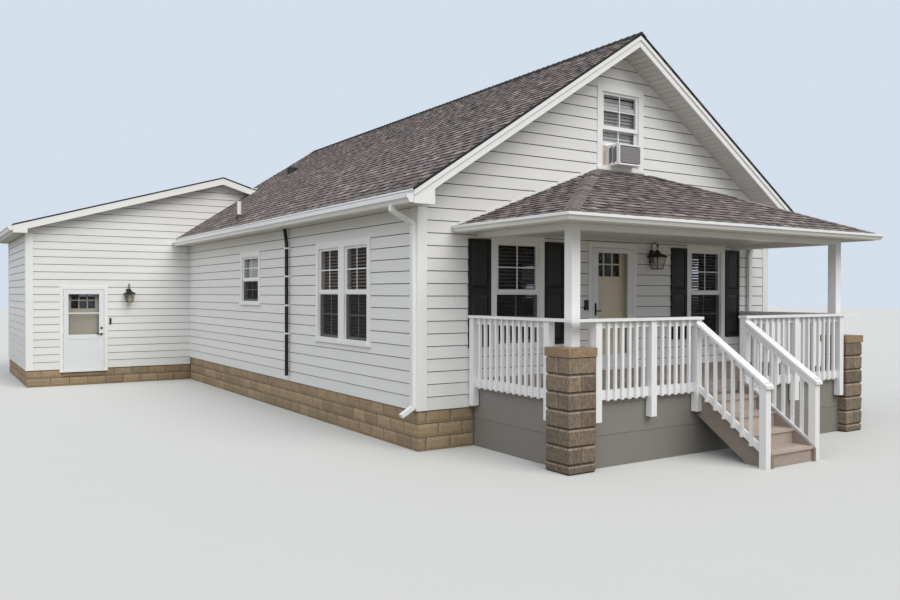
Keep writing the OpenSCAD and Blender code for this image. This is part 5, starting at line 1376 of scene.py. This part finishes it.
# %% Step boards
STAIR_X, STAIR_HALF, RUN, NOSE, TREADS = DOOR_X - 0.032, 0.43, 0.285, 0.025, 4
TREAD_T, RISER_T, STAIR_BACK = 0.030, 0.020, DECK_OUT + 0.050
steps = Pile()
riser = FLOOR / (TREADS + 1)


def stair_board(y0, y1, z0, z1):
    steps.box((STAIR_X - STAIR_HALF, y0, z0), (STAIR_X + STAIR_HALF, y1, z1), planks.random())


for k in range(1, TREADS + 1):
    edge, z = FACE - (STAIR_BACK + (TREADS + 1 - k) * RUN), k * riser
    back = edge + RUN + NOSE if k < TREADS else FACE - DECK_OUT
    middle = (edge + back) / 2
    stair_board(edge, middle - PLANK_GAP / 2, z - TREAD_T, z)
    stair_board(middle + PLANK_GAP / 2, back, z - TREAD_T, z)
    stair_board(edge + NOSE, edge + NOSE + RISER_T, z - riser, z - TREAD_T)
make_piece(steps, "step_boards", STEP, "deck_taupe", stands_for=["stair_treads"])

# %% Skirt panels
SKIRT_OUT, SKIRT_T, STUD_T, STUD_HALF, SEAM = 2.135, 0.020, 0.038, 0.045, 0.002
skirt = Pile()
middle = rim_foot / 2
for z0, z1, tint, shallow, deep in ((0.0, middle - SEAM, 0.3, 0.0, SKIRT_T),
                                    (middle + SEAM, rim_foot, 0.7, 0.0, SKIRT_T),
                                    (middle - STUD_HALF, middle + STUD_HALF, 0.1, SKIRT_T, STUD_T)):
    skirt.box((PORCH_X - pier_in, FACE - SKIRT_OUT + shallow, z0),
              (PORCH_X + pier_in, FACE - SKIRT_OUT + deep, z1), tint)
    for side in (-1, 1):
        skirt.box((PORCH_X + side * (SKIRT_HALF - shallow), pier_back, z0),
                  (PORCH_X + side * (SKIRT_HALF - deep), FACE, z1), tint)
make_piece(skirt, "skirt_panels", SKIRT, "skirt_grey", stands_for=["deck_skirt"])

# %% [markdown]
# ## The window cooler
# The air conditioner in the gable window has a moulded grille in front, set in a dark
# round-cornered rim, and two groups of slanting louvres on each side, where it breathes. Boards
# beside it fill the rest of the open sash.

# %% Cooler grille
COOLER_X, COOLER_HALF, COOLER_Z, COOLER_H, COOLER_OUT = -0.020, 0.250, GABLE_Z + SILL, 0.335, 0.255
GRILLE_W, GRILLE_H, GRILLE_R, LEVEL, BLADE = 0.212, 0.130, 0.030, 0.026, 0.022
SURROUND, BLADE_BACK, LIPS = (0.223, 0.141, 0.036), 0.010, (0.001, 0.005)
SURROUND_NEAR, SURROUND_FAR = 0.0095, 0.0118
repaint("window_cooler", FILLER, lambda p: abs(p.x - COOLER_X) > COOLER_HALF + TOUCH)
surround, grille = Pile(), Pile()
y, mid_z = FACE - COOLER_OUT, COOLER_Z + COOLER_H / 2
plate(surround, COOLER_X, mid_z, SURROUND, y + SURROUND_NEAR, y + SURROUND_FAR)
make_piece(surround, "cooler_surround", DARK, "iron_black")
z = LEVEL / 2 - GRILLE_H
while z < GRILLE_H:
    over = max(0.0, abs(z) - (GRILLE_H - GRILLE_R))
    half = GRILLE_W - GRILLE_R + math.sqrt(max(0.0, GRILLE_R ** 2 - over ** 2))
    low, high = ([(COOLER_X + u, y + d, mid_z + z + rise)
                  for u, d in ((-half, lip), (half, lip), (half, BLADE_BACK), (-half, BLADE_BACK))]
                 for lip, rise in zip(LIPS, (-BLADE / 2, BLADE / 2)))
    grille.solid(low, high)
    z += LEVEL
GRILLE_GREY = finish("cooler_grille_grey", (0.245, 0.225, 0.227), 0.45, bump=0.03)
make_piece(grille, "cooler_grille", GRILLE_GREY, "cooler_white")

# %% Cooler louvres
GROUPS, GROUP_W, LEAN, LOUVRE_FOOT, LOUVRE_TOP = (0.061, 0.153), 0.078, 0.038, 0.030, 0.070
LOUVRE_STEP, LOUVRE_H, LOUVRE_T = 0.028, 0.019, 0.003
SLANT = ((0, 0, LEAN), (0, GROUP_W, 0), (LOUVRE_T, GROUP_W, 0), (LOUVRE_T, 0, LEAN))
louvres = Pile()
for side in (-1, 1):
    x = COOLER_X + side * COOLER_HALF
    for group in GROUPS:
        z = COOLER_Z + LOUVRE_FOOT
        while z < COOLER_Z + COOLER_H - LOUVRE_TOP:
            louvres.slab([(x + side * u, y + group + v, z + h) for u, v, h in SLANT], LOUVRE_H)
            z += LOUVRE_STEP
LOUVRE_BLUE = finish("louvre_blue", (0.020, 0.026, 0.050), 0.5, bump=0.03)
make_piece(louvres, "cooler_louvres", LOUVRE_BLUE, "iron_black")

# %% [markdown]
# ## Pipe flashing
# The plumbing pipe passes the roof in a dark rubber collar with a flat plate that tucks under the
# shingles above it.

# %% Pipe flashing
COLLAR = ((0.085, -0.05), (0.085, 0.0), (0.060, 0.045), (0.0475, 0.075), (0.0475, -0.05))
PLATE_HALF, PLATE_FOOT, PLATE_TOP = 0.15, 0.009, 0.0125
pipe_x, pipe_y = -(HALF - 0.066), REAR - 4.3
boot = Pile()
boot.lathe(pipe_x, pipe_y, house_top(pipe_x), COLLAR, 24)
boot.cell((-PLATE_HALF, PLATE_HALF), (-PLATE_HALF, PLATE_HALF), (PLATE_FOOT, PLATE_TOP),
          place=lambda u, v, h: (pipe_x + u, pipe_y + v, house_top(pipe_x + u) + h))
make_piece(boot, "pipe_boot", DARK, "iron_black")

# %% [markdown]
# ## Floor, sky and light
# The house stands on a plain pale floor. One broad soft sun comes from high in front, as through
# thin cloud, and a broader one from the left keeps the long side wall bright. The sky fills the
# rest. The floor looks pale to the camera but throws back no more light than a lawn would, so that
# the undersides of the roofs stay dim.

# %% Floor
REACH, LAWN, BELOW = 120.0, (0.225, 0.205, 0.155, 1.0), -0.002
floor_mesh = bpy.data.meshes.new("stage_floor")
floor_mesh.from_pydata([(x * REACH, y * REACH, 0) for x, y in ((-1, -1), (1, -1), (1, 1), (-1, 1))],
                       [], [(0, 1, 2, 3)])
floor_paint = finish("stage_floor", (0.62, 0.62, 0.60), 0.9, drift=0.01, bump=0.0)
tree = floor_paint.node_tree
base = tree.nodes["Principled BSDF"].inputs["Base Color"]
seen = add(tree, "LightPath", {})["Is Camera Ray"]
tree.links.new(mixed(tree, seen, LAWN, base.links[0].from_socket), base)
floor_mesh.materials.append(floor_paint)
stage_floor = put("stage_floor", floor_mesh)
stage_floor.location.z = BELOW
stage_floor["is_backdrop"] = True
print("floor", 2 * REACH, "m wide")

# %% Sky and suns
scene.world = bpy.data.worlds.new("studio")
scene.world.use_nodes = True
sky = scene.world.node_tree
feed(sky.nodes["Background"], {"Color": (0.86, 0.92, 1.0, 1.0), "Strength": 0.52})
backdrop = add(sky, "Background", {"Color": (0.66, 0.74, 0.84, 1.0), "Strength": 1.0})[0]
rays = add(sky, "LightPath", {})
direct = rays["Is Camera Ray"]
for ray in ("Is Glossy Ray", "Is Transmission Ray"):
    direct = add(sky, "Math", {0: direct, 1: rays[ray]}, operation="MAXIMUM")[0]
either = add(sky, "MixShader", {"Fac": direct, 1: sky.nodes["Background"].outputs[0], 2: backdrop})
feed(sky.nodes["World Output"], {"Surface": either[0]})
for name, strength, towards, width, colour in (
        ("key_sun", 1.98, (-0.12, 0.72, -0.75), 45, (1.0, 0.97, 0.92)),
        ("fill_sun", 1.1, (0.75, 0.30, -0.70), 60, (0.95, 0.97, 1.0))):
    lamp = bpy.data.lights.new(name, "SUN")
    lamp.energy, lamp.angle, lamp.color = strength, math.radians(width), colour
    put(name, lamp).rotation_euler = Vector(towards).to_track_quat("-Z", "Y").to_euler()
scene.view_settings.view_transform = "Standard"
print("sky and two suns")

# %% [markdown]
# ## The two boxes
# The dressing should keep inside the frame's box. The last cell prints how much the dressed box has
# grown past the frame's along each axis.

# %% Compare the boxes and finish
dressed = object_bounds()
print("grown by", [round(dressed[1][k] - cad_box[1][k] + cad_box[0][k] - dressed[0][k], 4)
                   for k in range(3)])
